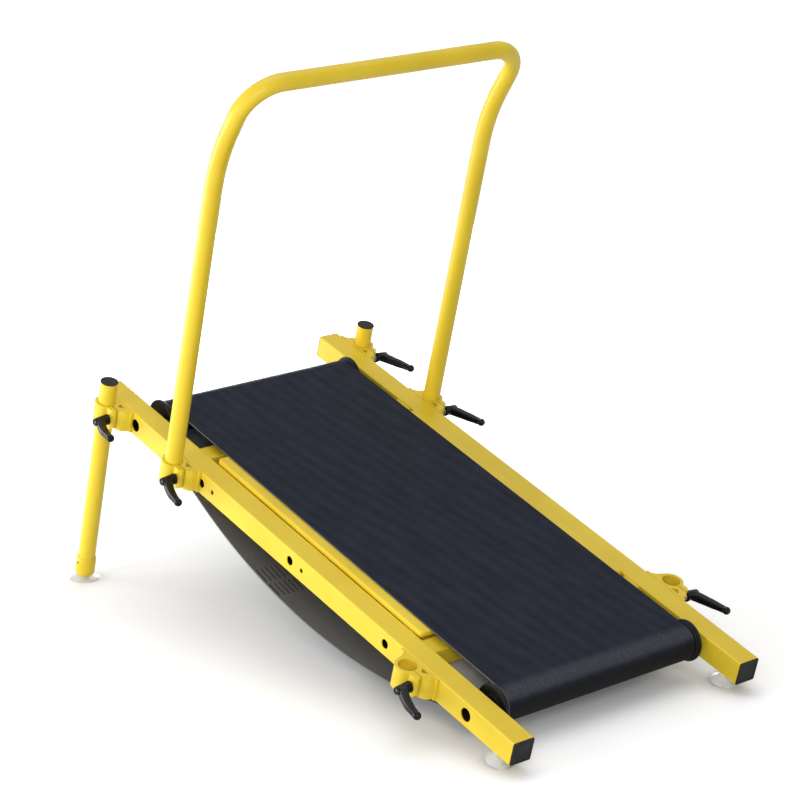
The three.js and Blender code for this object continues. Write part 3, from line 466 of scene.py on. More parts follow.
def moulded(name, tones, roughness, slot, grain=2500.0, strength=0.12, specular=0.2):
    look = Look(name, roughness, Specular_IOR_Level=specular)
    light, deep = (srgb(*tone) for tone in tones)
    body = look.ramp(look.noise(35.0, 4.0), (0.35, deep), (0.65, light))
    # Convex edges take the light tone, a painted highlight.
    look.colour(look.mix(look.painted_edge_highlight(), body, light))
    look.roughness(look.spread(look.noise(90.0, 3.0), roughness - 0.06, roughness + 0.08))
    look.relief(look.noise(grain, 2.0), strength, 0.0002)
    return look.material, slot


def metal(name, tones, roughness, slot, stretch=(1.0, 1.0, 1.0)):
    look = Look(name, roughness, metallic=1.0)
    light, deep = (srgb(*tone) for tone in tones)
    look.colour(look.ramp(look.noise(120.0, 4.0, stretch=stretch), (0.3, deep), (0.7, light)))
    look.roughness(look.spread(look.noise(300.0, 3.0, stretch=stretch), roughness - 0.08, roughness + 0.1))
    look.relief(look.noise(900.0, 3.0, stretch=stretch), 0.05, 0.0001)
    return look.material, slot


# Stretches along the belt's run from under the front roller, in metres: start, full, fade, end
# The stretch where the belt bends over the rear roller, painted lighter and mottled as a painted sheen.
PAINTED_SHEEN_BAND = (1.246, 1.266, 1.280, 1.292)
# The lower run, painted dark grey as painted shade under the deck.
SHADED_LOWER_RUN = (1.286, 1.298, 2.5, 2.56)
# The stretch of the belt's shaded inner face that is painted pale, as painted light.
PAINTED_LIGHT_BACK = (1.3, 1.36, 1.6, 2.0)


def belt_look():
    look = Look("belt_weave", 0.65, Specular_IOR_Level=0.04)
    run = look.node("ShaderNodeUVMap", uv_map="run").outputs["UV"]
    waves = []
    for turn in (45, -45):
        mapping = look.node("ShaderNodeMapping")
        mapping.inputs["Rotation"].default_value = (0, 0, math.radians(turn))
        look.link(run, mapping.inputs["Vector"])
        wave = look.node("ShaderNodeTexWave")
        wave.inputs["Scale"].default_value = 110.0
        wave.inputs["Distortion"].default_value = 0.4
        look.link(mapping.outputs["Vector"], wave.inputs["Vector"])
        waves.append(wave.outputs["Fac"])
    weave = look.mix(0.5, waves[0], waves[1], "MULTIPLY")
    mottle = look.ramp(
        look.noise(9.0, 5.0, 0.6, stretch=(2.2, 1.0, 1.0), place=run),
        (0.3, srgb(31, 34, 45)),
        (0.7, srgb(40, 43, 55)),
    )
    streaks = look.node("ShaderNodeTexWave")
    streaks.inputs["Scale"].default_value = 9.0
    streaks.inputs["Distortion"].default_value = 7.0
    streaks.inputs["Detail"].default_value = 2.0
    streaks.inputs["Detail Scale"].default_value = 0.7
    look.link(look.turned_place(run, (0, 0, 24), (1.0, 0.35, 1.0)), streaks.inputs["Vector"])
    faint = look.spread(streaks.outputs["Fac"], 0.0, 0.05)
    cloth = look.mix(faint, mottle, srgb(92, 96, 110))
    along = look.node("ShaderNodeSeparateXYZ")
    look.link(run, along.inputs["Vector"])
    # A mottled painted sheen where the belt bends over the rear roller.
    sheen_mottle = look.ramp(
        look.noise(240.0, 4.0, 0.6, stretch=(0.6, 1.6, 1.0), place=run),
        (0.35, srgb(62, 64, 71)),
        (0.7, srgb(88, 90, 96)),
    )
    painted_sheen = look.window(along.outputs["Y"], *PAINTED_SHEEN_BAND)
    under = look.window(along.outputs["Y"], *SHADED_LOWER_RUN)
    cloth = look.mix(look.spread(painted_sheen, 0.0, 0.7), cloth, sheen_mottle)
    # The lower run is painted dark grey: painted shade.
    cloth = look.mix(under, cloth, srgb(32, 32, 34))
    look.colour(look.mix(0.12, cloth, weave, "SOFT_LIGHT"))
    look.roughness(look.spread(look.noise(40.0, 4.0, place=run), 0.5, 0.68))
    look.relief(weave, 0.25, 0.0004)
    return look.material, "belt_rubber"


def belt_back_look():
    """Dark cloth, with painted light: a pale stretch where the lower run leaves the rear roller."""
    look = Look("belt_back", 0.8, Specular_IOR_Level=0.05)
    run = look.node("ShaderNodeUVMap", uv_map="run").outputs["UV"]
    along = look.node("ShaderNodeSeparateXYZ")
    look.link(run, along.inputs["Vector"])
    grain = look.noise(35.0, 4.0)
    cloth = look.ramp(grain, (0.35, srgb(108, 111, 122)), (0.65, srgb(122, 125, 136)))
    # Pale tones painted on as light falling on the shaded inner face.
    painted_light_tones = look.ramp(grain, (0.35, srgb(196, 196, 199)), (0.65, srgb(212, 212, 214)))
    look.colour(look.mix(look.window(along.outputs["Y"], *PAINTED_LIGHT_BACK), cloth, painted_light_tones))
    look.roughness(look.spread(look.noise(90.0, 3.0), 0.74, 0.88))
    look.relief(look.noise(1200.0, 2.0), 0.3, 0.0002)
    return look.material, "belt_rubber"


def cup_look():
    look = Look("cup_rubber", 0.36, Transmission_Weight=0.6, IOR=1.25)
    look.colour(look.ramp(look.noise(60.0, 3.0), (0.3, srgb(240, 242, 243)), (0.7, srgb(251, 252, 252))))
    look.roughness(look.spread(look.noise(150.0, 3.0), 0.3, 0.42))
    look.relief(look.noise(300.0, 2.0), 0.03, 0.0001)
    return look.material, "cup_rubber"


YELLOW = powder_coat("yellow_coat", ((234, 204, 54), (228, 198, 46), (221, 190, 38)), "yellow_paint")
DECK_YELLOW = powder_coat("deck_coat", ((238, 208, 58), (231, 201, 50), (223, 192, 40)), "deck_panel")
# The rails' uncoated inner faces, darkened further with painted shade so their holes read near black.
SHADED_TUBE_INSIDE = moulded("tube_inside_painted_shade", ((50, 46, 36), (34, 31, 26)), 0.6, "yellow_paint", 900.0, 0.2)
CAP_BLACK = moulded("cap_black", ((32, 32, 33), (22, 22, 23)), 0.5, "black_plastic")
CAP_PANEL = moulded("cap_panel", ((54, 54, 54), (44, 44, 45)), 0.65, "black_plastic", specular=0.1)
LEVER_BLACK = moulded("lever_black", ((16, 16, 17), (8, 8, 9)), 0.18, "lever_plastic", 1600.0, 0.03, 0.16)
FLANGE_BLACK = moulded("flange_black", ((20, 21, 22), (12, 12, 13)), 0.4, "roller_plastic", 1800.0, 0.08, 0.15)
PAN_GREY = moulded("pan_grey", ((124, 124, 124), (113, 113, 114)), 0.65, "pan_plastic", 1800.0, 0.1, 0.05)
# Slot walls painted near black: painted shade standing in for the dark floor shadow seen through the slots.
PAN_SHADE = moulded("pan_slot_painted_shade", ((42, 42, 42), (34, 34, 34)), 0.8, "pan_plastic", specular=0.03)
BELT = belt_look()
BELT_EDGE = moulded("belt_edge", ((104, 103, 100), (86, 85, 83)), 0.7, "belt_rubber", specular=0.05)
BELT_BACK = belt_back_look()
STEEL = metal("bright_steel", ((205, 207, 210), (176, 178, 182)), 0.28, "steel")
RAW_STEEL = metal("raw_steel", ((170, 172, 175), (138, 140, 144)), 0.36, "steel")
DARK_STEEL = metal("dark_steel", ((96, 97, 100), (70, 71, 74)), 0.32, "steel")
CUP = cup_look()


# Frame


def hex_bolt(corner_radius, height, washer_radius, washer):
    """A head on its washer, pointing along +x from 0."""
    head = rod(corner_radius, washer, washer + height, 0, 0, ACROSS, 6)
    return together(rod(washer_radius, 0, washer, 0, 0, ACROSS, 40), head)


def screw_head(radius, height):
    """A domed head with a hexagon recess, pointing along +x from 0."""
    shares = ((0, 0), (0, 1), (0.3, 1), (0.7, 0.86), (1, 0.5), (1, 0))
    dome = turned([(a * height, r * radius) for a, r in shares], ACROSS, 32)
    return cut(dome, rod(0.36 * radius, 0.35 * height, height + 1, 0, 0, ACROSS, 6))


def weld(width, height, corner, z):
    """A bead round a tube's end against a wall at x = 0, the tube on the -x side."""
    sizes = ((0, -1), (0, 5), (-1.3, 3.4), (-3.4, 0.4), (-3.4, -1))
    rings = []
    for x, more in sizes:
        outline = rounded(width + more, height + more, max(corner + more / 2, 0.5), 0, z)
        rings.append([(x, u, v) for u, v in outline])
    return stack(rings, closed=True)


def rail(side):
    outer = prism(rounded(RAIL_SIZE, RAIL_SIZE, RAIL_CORNER, RAIL_X, RAIL_Z, 8), 0, RAIL_LENGTH, ALONG)
    inside = RAIL_SIZE - 2 * RAIL_WALL
    core = rounded(inside, inside, RAIL_CORNER - RAIL_WALL, RAIL_X, RAIL_Z)
    wall = (RAIL_OUTER - RAIL_WALL - OVERRUN, RAIL_OUTER + OVERRUN)
    inner_wall = (RAIL_INNER - OVERRUN, RAIL_INNER + RAIL_WALL + OVERRUN)
    holes = [rod(14, *wall, y, RAIL_Z, ACROSS, 64) for y in AXLES.values()]
    holes += [rod(10, *wall, y, RAIL_Z, ACROSS) for y in SUPPORTS.values()]
    holes += [rod(5, *wall, SUPPORTS[place] - 40, RAIL_Z, ACROSS) for place in ("middle", "front")]
    holes += [rod(5.6, *inner_wall, y, RAIL_Z, ACROSS) for y in AXLES.values()]
    tools = [prism(core, -OVERRUN, RAIL_LENGTH + OVERRUN, ALONG), together(*holes)]
    # The faces inside the rail get the dark look: painted shade.
    reach = inside / 2 + 0.4
    dark = (SHADED_TUBE_INSIDE, lambda p: abs(p.x - RAIL_X) < reach and abs(p.z - RAIL_Z) < reach)
    piece(f"{side}_rail_tube", cut(outer, *tools), YELLOW, "frame", SIDES[side], 0.7, [f"{side}_rail"], second=dark)
    head = RAIL_INNER + RAIL_WALL + SEAT
    for place, y in SUPPORTS.items():
        bolt = hex_bolt(7.4, 5.3, 9, 1.6)
        piece(f"{side}_{place}_support_bolt", bolt, STEEL, "frame", SIDES[side] @ at(head, y, RAIL_Z), 0.3)


def rail_cap(side, end):
    plate = RAIL_SIZE - 1.6
    face = prism(rounded(plate, plate, RAIL_CORNER - 1), SEAT, 2.4 + SEAT, ALONG)
    panel = prism(rounded(plate - 9, plate - 9, RAIL_CORNER - 2), 1.6 + SEAT, 2.4 + 2 * OVERRUN, ALONG)
    plug = RAIL_SIZE - 2 * RAIL_WALL - 2 * SEAT
    shank = prism(rounded(plug, plug, 2), -16, 1, ALONG)
    y, turn = (RAIL_LENGTH, 0) if end == "front" else (0, 180)
    place = SIDES[side] @ at(RAIL_X, y, RAIL_Z) @ Matrix.Rotation(math.radians(turn), 4, "Z")
    name = f"{side}_{end}_rail_cap"
    reach = plate / 2 - 4.6
    pale = (CAP_PANEL, lambda p: abs(p.x) < reach and abs(p.z) < reach and p.y > 1.5)
    body = fuse(cut(face, panel), shank)
    piece(f"{name}_insert", body, CAP_BLACK, "frame", place, 0.5, [name], second=pale)


def cross_tube(end, station):
    z = -CROSS_DROP - CROSS_HEIGHT / 2
    half = RAIL_INNER - SEAT
    inside = (CROSS_WIDTH - 2 * CROSS_WALL, CROSS_HEIGHT - 2 * CROSS_WALL, 1)
    tube = prism(rounded(CROSS_WIDTH, CROSS_HEIGHT, CROSS_CORNER, 0, z), -half, half, ACROSS)
    core = prism(rounded(*inside, 0, z), -half - OVERRUN, half + OVERRUN, ACROSS)
    name = f"{end}_cross_tube"
    piece(f"{name}_shell", cut(tube, core), YELLOW, "frame", at(0, station, 0), 0.5, [name])
    for side, turn in SIDES.items():
        bead = weld(CROSS_WIDTH, CROSS_HEIGHT, CROSS_CORNER, z)
        piece(f"{name}_{side}_weld", bead, YELLOW, "frame", turn @ at(RAIL_INNER, station, 0), 0, sharp=70)


def deck_board():
    plan = rounded(DECK_WIDTH, DECK_FRONT - DECK_REAR, 9, 0, (DECK_FRONT + DECK_REAR) / 2, 10)
    board = prism(plan, DECK_TOP - DECK_THICKNESS, DECK_TOP)
    piece("deck_board_panel", board, DECK_YELLOW, "frame", HERE, 4.5, ["deck_board"], 6)


# Belt, rollers and pan


def stadium(radius, steps=24):
    """(point, outward direction, distance run) round both rollers, the first point repeated at the end."""
    centres = ((AXLES["front"], -90), (AXLES["rear"], 90))
    stations = []
    for y, start in centres:
        for i in range(steps + 1):
            angle = math.radians(start + 180 * i / steps)
            direction = Vector((0, math.cos(angle), math.sin(angle)))
            stations.append((Vector((0, y, RAIL_Z)) + direction * radius, direction))
    stations.append(stations[0])
    runs = [0.0]
    for (a, _), (b, _) in zip(stations, stations[1:]):
        runs.append(runs[-1] + (b - a).length)
    return [(point, direction, run) for (point, direction), run in zip(stations, runs)]


def running_belt():
    inner = ROLLER_RADIUS + SEAT
    half, lip = BELT_WIDTH / 2, 0.8
    section = [(-half, lip), (-half, BELT_THICKNESS - lip), (-half + lip, BELT_THICKNESS)]
    section += [(half - lip, BELT_THICKNESS), (half, BELT_THICKNESS - lip), (half, lip)]
    section += [(half - lip, 0), (-half + lip, 0)]
    bm = bmesh.new()
    uv = bm.loops.layers.uv.new("run")
    stations = stadium(inner)
    rows = [
        [bm.verts.new(point + direction * lift + Vector((x, 0, 0))) for x, lift in section]
        for point, direction, _ in stations[:-1]
    ]
    rows.append(rows[0])
    for i, (low, high) in enumerate(zip(rows, rows[1:])):
        for j in range(len(section)):
            k = (j + 1) % len(section)
            face = bm.faces.new((low[j], low[k], high[k], high[j]))
            edge = abs(section[j][0]) > half - lip / 2 or abs(section[k][0]) > half - lip / 2
            face.material_index = 1 if edge else 2 if j == 6 else 0
            ends = ((section[j][0], i), (section[k][0], i), (section[k][0], i + 1), (section[j][0], i + 1))
            for loop, (x, station) in zip(face.loops, ends):
                loop[uv].uv = (x * MM, stations[station][2] * MM)
    belt = piece("running_belt_loop", outward(bm), BELT, "frame", HERE, 0, ["running_belt"])
    belt.data.materials.append(BELT_EDGE[0])
    belt.data.materials.append(BELT_BACK[0])


def roller(end):
    inside = BELT_WIDTH / 2 + OVERRUN
    outside = inside + ROLLER_FLANGE_THICKNESS
    barrel = rod(ROLLER_RADIUS, -inside - 1, inside + 1, 0, 0, ACROSS, 96)
    flange = [
        (inside, 18),
        (inside, ROLLER_RADIUS + 4),
        (inside + 0.8, ROLLER_RADIUS + 5.4),
        (inside + 2.2, ROLLER_RADIUS + 6),
        (inside + 3.4, ROLLER_RADIUS + 5.8),
        (inside + 3.8, ROLLER_RADIUS + 5.2),
        (inside + 4.2, ROLLER_RADIUS + 6.4),
        *[(inside + 7 - 3 * math.cos(a), ROLLER_FLANGE_RADIUS - 2.6 + 2.6 * math.sin(a))
          for a in (math.radians(15 * k) for k in range(7))],
        *[(outside - 3 + 3 * math.sin(a), ROLLER_FLANGE_RADIUS - 3 + 3 * math.cos(a))
          for a in (math.radians(15 * k) for k in range(7))],
        (outside, ROLLER_FLANGE_RADIUS - 8),
        (outside - 1.2, ROLLER_FLANGE_RADIUS - 9.2),
        (outside - 1.2, 24),
        (outside, 22.6),
        (outside, 18),
    ]
    mirrored = [(-axial, radius) for axial, radius in flange]
    parts = together(barrel, turned(flange, ACROSS, 96), turned(mirrored, ACROSS, 96))
    place = at(0, AXLES[end], RAIL_Z)
    piece(f"{end}_roller_drum", parts, FLANGE_BLACK, f"{end}_roller_body", place, 0, [f"{end}_roller"])


def belly_pan():
    middle = RAIL_LENGTH / 2
    front = RAIL_LENGTH - PAN_REAR
    half = PAN_WIDTH / 2

    def band(start, end, steps):
        low = [math.degrees(math.asin((y - middle) / PAN_RADIUS)) - 90 for y in (start, end)]
        centre = (middle, PAN_RADIUS - PAN_DEPTH)
        return arc(*centre, PAN_RADIUS, *low, steps) + arc(*centre, PAN_RADIUS - PAN_THICKNESS, *low[::-1], steps)

    lug_face = RAIL_INNER - SEAT
    lugs = []
    for start in (PAN_REAR, front - PAN_LUG_LENGTH):
        end = start + PAN_LUG_LENGTH
        lugs.append(prism(band(start, end, 8), -lug_face, lug_face, ACROSS))
        foot = PAN_RADIUS - PAN_DEPTH - math.sqrt(PAN_RADIUS ** 2 - (start - middle) ** 2) + 1
        for sign in (-1, 1):
            x0, x1 = sorted((sign * lug_face, sign * (lug_face - PAN_LUG_THICKNESS)))
            lugs.append(block(x0, x1, start, end, foot, -PAN_LUG_TOP))
    slots = []
    for row in range(SLOT_ROWS):
        x = half - SLOT_MARGIN - row * SLOT_PITCH
        for end in (SLOT_FIELD_FRONT, SLOT_FIELD_FRONT - SLOT_LENGTH - SLOT_BRIDGE):
            for sign in (-1, 1):
                outline = rounded(SLOT_WIDTH, SLOT_LENGTH, SLOT_WIDTH / 2 - 0.1, sign * x, end - SLOT_LENGTH / 2)
                slots.append(prism(outline, -PAN_DEPTH - OVERRUN, -PAN_DEPTH / 2))
    sheet = prism(band(PAN_REAR, front, 72), -half, half, ACROSS)
    pan = cut(fuse(sheet, *lugs), together(*slots))
    low = SLOT_FIELD_FRONT - 2 * SLOT_LENGTH - SLOT_BRIDGE - 1
    inner_row = half - SLOT_MARGIN - SLOT_ROWS * SLOT_PITCH

    # The walls of the slots, which carry the painted shade.
    def slot_wall(p):
        depth = PAN_RADIUS - math.hypot(p.y - middle, p.z - PAN_RADIUS + PAN_DEPTH)
        inside = 0.5 < depth < PAN_THICKNESS - 0.5
        return inside and low < p.y < SLOT_FIELD_FRONT + 1 and inner_row < abs(p.x) < half - 1

    shade = (PAN_SHADE, slot_wall)
    piece("belly_pan_sheet", pan, PAN_GREY, "frame", HERE, 0.4, ["belly_pan"], 2, second=shade)
    for side, turn in SIDES.items():
        for i, start in enumerate((PAN_REAR, front - PAN_LUG_LENGTH)):
            for j in (0, 1):
                y = start + PAN_LUG_LENGTH * (0.25 + 0.5 * j)
                spot = turn @ at(lug_face - PAN_LUG_THICKNESS, y, RAIL_Z) @ Matrix.Rotation(math.pi, 4, "Z")
                piece(f"{side}_pan_screw_{2 * i + j + 1}", screw_head(4.6, 2.8), STEEL, "frame", spot, 0.2)


# Clamps and levers

FRONT_WEB_SHARES = ((0.9, 0.61), (0.3, 0.62))
POCKET_SHARES = ((0.25, 0.32), (0.24, 0.65), (0.66, 0.47))
EAR_CORNER = 8


def clamp_outline():
    ear_angle = math.degrees(math.asin((EAR_FACE - BORE_OFFSET) / COLLAR_RADIUS)) - 90
    leave, arrive = FRONT_WEB_SHARES
    ring = arc(BORE_OFFSET, 0, COLLAR_RADIUS, ear_angle, WEB_ANGLE, 36)
    points = [(SEAT, -REAR_FLANGE_REACH), (FOOT_FLANGE, -REAR_FLANGE_REACH)]
    points += [(FOOT_FLANGE, -SHOULDER_REACH - SHOULDER_STEP)]
    shoulder = Vector((SHOULDER_WIDTH, -SHOULDER_REACH))
    inner_ear = Vector((BORE_OFFSET - SLIT_WIDTH / 2, -EAR_REACH))
    chord = (inner_ear - shoulder).normalized()
    handle = (shoulder + inner_ear) / 2 + SHOULDER_BULGE * Vector((chord.y, -chord.x))
    points += bent(shoulder, handle, inner_ear, 10)
    points += [(EAR_FACE - EAR_CHAMFER, -EAR_REACH), (EAR_FACE, EAR_CHAMFER - EAR_REACH)]
    points += ring
    points += bezier(
        ring[-1],
        (leave[0] * BORE_OFFSET, leave[1] * FRONT_FLANGE_REACH),
        (arrive[0] * BORE_OFFSET, arrive[1] * FRONT_FLANGE_REACH),
        (FOOT_FLANGE, FRONT_FLANGE_REACH - FLANGE_LIP),
        14,
    )[1:]
    return points + [(FOOT_FLANGE, FRONT_FLANGE_REACH), (SEAT, FRONT_FLANGE_REACH)]


def clamp(side, place):
    bottom = COLLAR_TOP - COLLAR_HEIGHT
    through = (bottom - OVERRUN, COLLAR_TOP + OVERRUN)
    pocket = [(u * BORE_OFFSET, -v * REAR_FLANGE_REACH) for u, v in POCKET_SHARES]
    slit = (BORE_OFFSET - SLIT_WIDTH / 2, BORE_OFFSET + SLIT_WIDTH / 2)
    round_y, round_z = EAR_CORNER - EAR_REACH, bottom + EAR_CORNER
    corner_block = block(slit[1] - 1, EAR_FACE + 1, -EAR_REACH - 1, round_y, bottom - 1, round_z)
    corner_rod = rod(EAR_CORNER, slit[1] - 2, EAR_FACE + 2, round_y, round_z, ACROSS)
    casting = cut(
        prism(clamp_outline(), bottom, COLLAR_TOP),
        rod(TUBE_RADIUS + 0.5, *through, BORE_OFFSET, 0, UP, 72),
        block(*slit, -EAR_REACH - OVERRUN, -TUBE_RADIUS / 2, *through),
        prism(pocket, *through),
        rod(STUD_RADIUS + 0.5, BORE_OFFSET - 10, EAR_FACE + OVERRUN, -STUD_SETBACK, STUD_Z, ACROSS, 32),
        cut(corner_block, corner_rod),
    )
    name = f"{side}_{place}_clamp"
    spot = SIDES[side] @ at(RAIL_OUTER, STATIONS[place], 0)
    piece(f"{name}_casting", casting, YELLOW, "frame", spot, 1.3, [name])


# Along the arm, as (share of its length, size) stops
ARM_HALF_WIDTHS = ((0, 10.2), (0.16, 9.2), (0.5, 8.4), (0.86, 6.9), (1, 6.3))
ARM_HALF_HEIGHTS = ((0, 10.0), (0.16, 9.2), (0.5, 8.2), (0.86, 6.7), (1, 6.2))
HOLLOW_START, HOLLOW_SHARE, HOLLOW_DEPTH = 0.17, 0.6, 0.8


def arm_point(share):
    bow = math.sin(math.pi * min(share, 1))
    return Vector((ARM_ROOT + ARM_RISE * share + ARM_BOW * bow, -ARM_LENGTH * share, -ARM_SAG * bow))


def arm_ring(share, half_width, half_height, sides=40, squareness=0.42):
    """A rounded rectangle square to the arm's path."""
    ahead = (arm_point(min(share + 0.01, 1)) - arm_point(max(share - 0.01, 0))).normalized()
    across = ahead.cross(Vector((0, 0, 1))).normalized()
    upward = across.cross(ahead)
    ring = []
    for k in range(sides):
        c, s = math.cos(2 * math.pi * k / sides), math.sin(2 * math.pi * k / sides)
        u = half_width * math.copysign(abs(c) ** squareness, c)
        v = half_height * math.copysign(abs(s) ** squareness, s)
        ring.append(arm_point(share) + across * u + upward * v)
    return ring


def between(stops, share):
    """A value read off (share, value) stops."""
    for (s0, a), (s1, b) in zip(stops, stops[1:]):
        if share <= s1:
            t = (share - s0) / (s1 - s0)
            return a + (b - a) * t * t * (3 - 2 * t)
    return stops[-1][1]


def lever_mesh():
    """Hub and arm as one moulding, from the hub's inner end outward along x, the arm along -y."""
    inner, outer, end = HUB_INNER_RADIUS, HUB_OUTER_RADIUS, HUB_LENGTH
    hub = turned(
        [
            (0, 0), (0, inner - 1.8), (0.4, inner - 0.7), (1.5, inner), (end - 2.6, outer),
            (end - 1.0, outer - 0.4), (end - 0.2, outer - 1.3), (end, outer - 2.2),
            (end - 0.3, outer - 2.9), (end - 1.4, outer - 3.3), (end - 1.4, 0),
        ],
        ACROSS,
        56,
    )
    shares = [i / 26 for i in range(27)]
    arm = stack([arm_ring(s, between(ARM_HALF_WIDTHS, s), between(ARM_HALF_HEIGHTS, s)) for s in shares])
    hollows = []
    for sign in (-1, 1):
        rings = []
        for i in range(13):
            share = HOLLOW_START + HOLLOW_SHARE * i / 12
            middle = arm_point(share)
            ahead = (arm_point(share + 0.01) - arm_point(share - 0.01)).normalized()
            across = ahead.cross(Vector((0, 0, 1))).normalized() * sign
            upward = ahead.cross(across) * sign
            face = between(ARM_HALF_WIDTHS, share) - HOLLOW_DEPTH
            high = between(ARM_HALF_HEIGHTS, share) * 0.5
            corners = ((face, -high), (face + 4, -high - 0.8), (face + 4, high + 0.8), (face, high))
            rings.append([middle + across * u + upward * v for u, v in corners])
        hollows.append(stack(rings))
    tip = KNOB_RADIUS * 0.848
    knob = turned(
        ball_profile(0, KNOB_RADIUS, 180, 32, 14)
        + [(tip, 0.4 * KNOB_RADIUS), (tip - 1.2, 0.34 * KNOB_RADIUS), (tip - 1.2, 0)],
        UP,
        40,
    )
    ahead = (arm_point(1) - arm_point(0.96)).normalized()
    knob.transform(Matrix.Translation(arm_point(1)) @ ahead.to_track_quat("Z", "Y").to_matrix().to_4x4())
    body = scratch(fuse(cut(arm, *hollows), hub, knob))
    remesh = body.modifiers.new("remesh", "REMESH")
    remesh.mode = "VOXEL"
    remesh.voxel_size = 0.5
    smooth = body.modifiers.new("smooth", "SMOOTH")
    smooth.factor = 0.5
    smooth.iterations = 1
    thin = body.modifiers.new("thin", "DECIMATE")
    thin.ratio = 0.4
    mesh = settled(body)
    discard(body)
    return mesh


LEVER = lever_mesh()


def clamp_lever(side, place, angle):
    bm = bmesh.new()
    bm.from_mesh(LEVER)
    spot = SIDES[side] @ at(RAIL_OUTER + HUB_START, STATIONS[place] - STUD_SETBACK, STUD_Z)
    spot = spot @ Matrix.Rotation(math.radians(angle), 4, "X")
    body = f"{side}_{place}_lever"
    name = f"{side}_{place}_clamp"
    piece(f"{name}_lever_moulding", bm, LEVER_BLACK, body, spot, 0, [f"{name}_lever"], sharp=80)
    stud = turned(
        [
            (-22, 0), (-22, STUD_RADIUS), (-SEAT - 2, STUD_RADIUS), (-SEAT - 2, 7.2), (-SEAT - 1.6, 7.6),
            (-SEAT - 0.4, 7.6), (-SEAT, 7.2), (-SEAT, STUD_RADIUS), (6, STUD_RADIUS), (6, 0),
        ],
        ACROSS,
        40,
    )
    piece(f"{name}_stud_turned", stud, STEEL, body, spot, 0, [f"{name}_stud"])
    screw = spot @ at(HUB_LENGTH - 2.4, 0, 0)
    piece(f"{name}_lever_screw", screw_head(3.9, 2.2), DARK_STEEL, body, screw, 0.15)


# Legs and feet


def leg(side):
    body = f"{side}_leg"
    spot = SIDES[side] @ at(TUBE_X, STATIONS["front"], 0)
    bottom = 14.1 - BALL_DROP
    tube = turned(
        [
            (bottom, TUBE_RADIUS - TUBE_WALL), (bottom, TUBE_RADIUS), (LEG_STAND - 0.5, TUBE_RADIUS),
            (LEG_STAND, TUBE_RADIUS - 0.5), (LEG_STAND, TUBE_RADIUS - TUBE_WALL),
        ]
    )
    piece(f"{side}_leg_post", tube, YELLOW, body, spot, 0, [f"{side}_leg_tube"])
    seat = LEG_STAND + SEAT
    top = seat + LEG_CAP_THICKNESS
    cap = turned(
        [
            (LEG_STAND - 14, 0), (LEG_STAND - 14, 15.6), (seat, 15.6), (seat, TUBE_RADIUS + 0.3),
            (seat + 0.3, TUBE_RADIUS + 0.6), (top - 0.8, TUBE_RADIUS + 0.6), (top - 0.2, TUBE_RADIUS + 0.3),
            (top, TUBE_RADIUS - 0.3), (top, TUBE_RADIUS - 0.9), (top - 0.5, TUBE_RADIUS - 1.4), (top - 0.5, 0),
        ]
    )
    pale = (CAP_PANEL, lambda p: math.hypot(p.x, p.y) < TUBE_RADIUS - 1 and p.z > LEG_STAND)
    piece(f"{side}_leg_cap_insert", cap, CAP_BLACK, body, spot, 0, [f"{side}_leg_cap"], second=pale)
    shoulder = BOOT_RADIUS - BOOT_END_RADIUS
    dome = [(math.cos(a), math.sin(a)) for a in (math.radians(7.5 * k) for k in range(13))]
    boot = turned(
        [
            (11.3, 0), (8, 8), (0, 11.3), (-6, 9.3), (-BOOT_DOME, BOOT_MOUTH_RADIUS),
            *[(-BOOT_DOME * c, BOOT_END_RADIUS + shoulder * s) for c, s in dome],
            (BOOT_LENGTH - 6.5, BOOT_RADIUS), (BOOT_LENGTH - 5.5, BOOT_RADIUS - 0.4),
            (BOOT_LENGTH - 0.6, TUBE_RADIUS + 1.7), (BOOT_LENGTH, TUBE_RADIUS + 1),
            (BOOT_LENGTH, TUBE_RADIUS + 0.6), (14, TUBE_RADIUS + 0.6), (14, 0),
        ]
    )
    ball = spot @ at(0, 0, -BALL_DROP)
    piece(f"{side}_leg_boot_shell", boot, YELLOW, body, ball, 0, [f"{side}_leg_boot"])
    screw = turned([(0, 0), (0, 3), (0.8, 3), (1.1, 2.6), (1.1, 1.5), (0.2, 1.5), (0.2, 0)], ACROSS, 24)
    piece(f"{side}_boot_screw", screw, DARK_STEEL, body, ball @ at(BOOT_RADIUS - 0.5, 0, 23), 0)
    flat = ball @ Matrix.Rotation(-INCLINE, 4, "X")
    floor = -BALL_HEIGHT
    cup = turned(
        [
            (floor, 0), (floor, CUP_RADIUS - 0.3), (floor + 0.3, CUP_RADIUS), (floor + 0.9, CUP_RADIUS - 0.2),
            (floor + 1.6, CUP_RADIUS - 2), (floor + 2.2, CUP_RADIUS - 8), (floor + 2.7, CUP_RADIUS - 15),
            (floor + 3.3, CUP_RADIUS - 21), (floor + 4.6, 9.5), (floor + 6, 7.2), (floor + 8, 6), (-9.4, STEM_RADIUS),
            *ball_profile(0, BALL_RADIUS, 150, 0, 12),
        ]
    )
    piece(f"{side}_front_cup", cup, CUP, f"{side}_foot", flat, 0, [f"{side}_front_suction_cup"])


REAR_RIM = CUP_RADIUS - 5


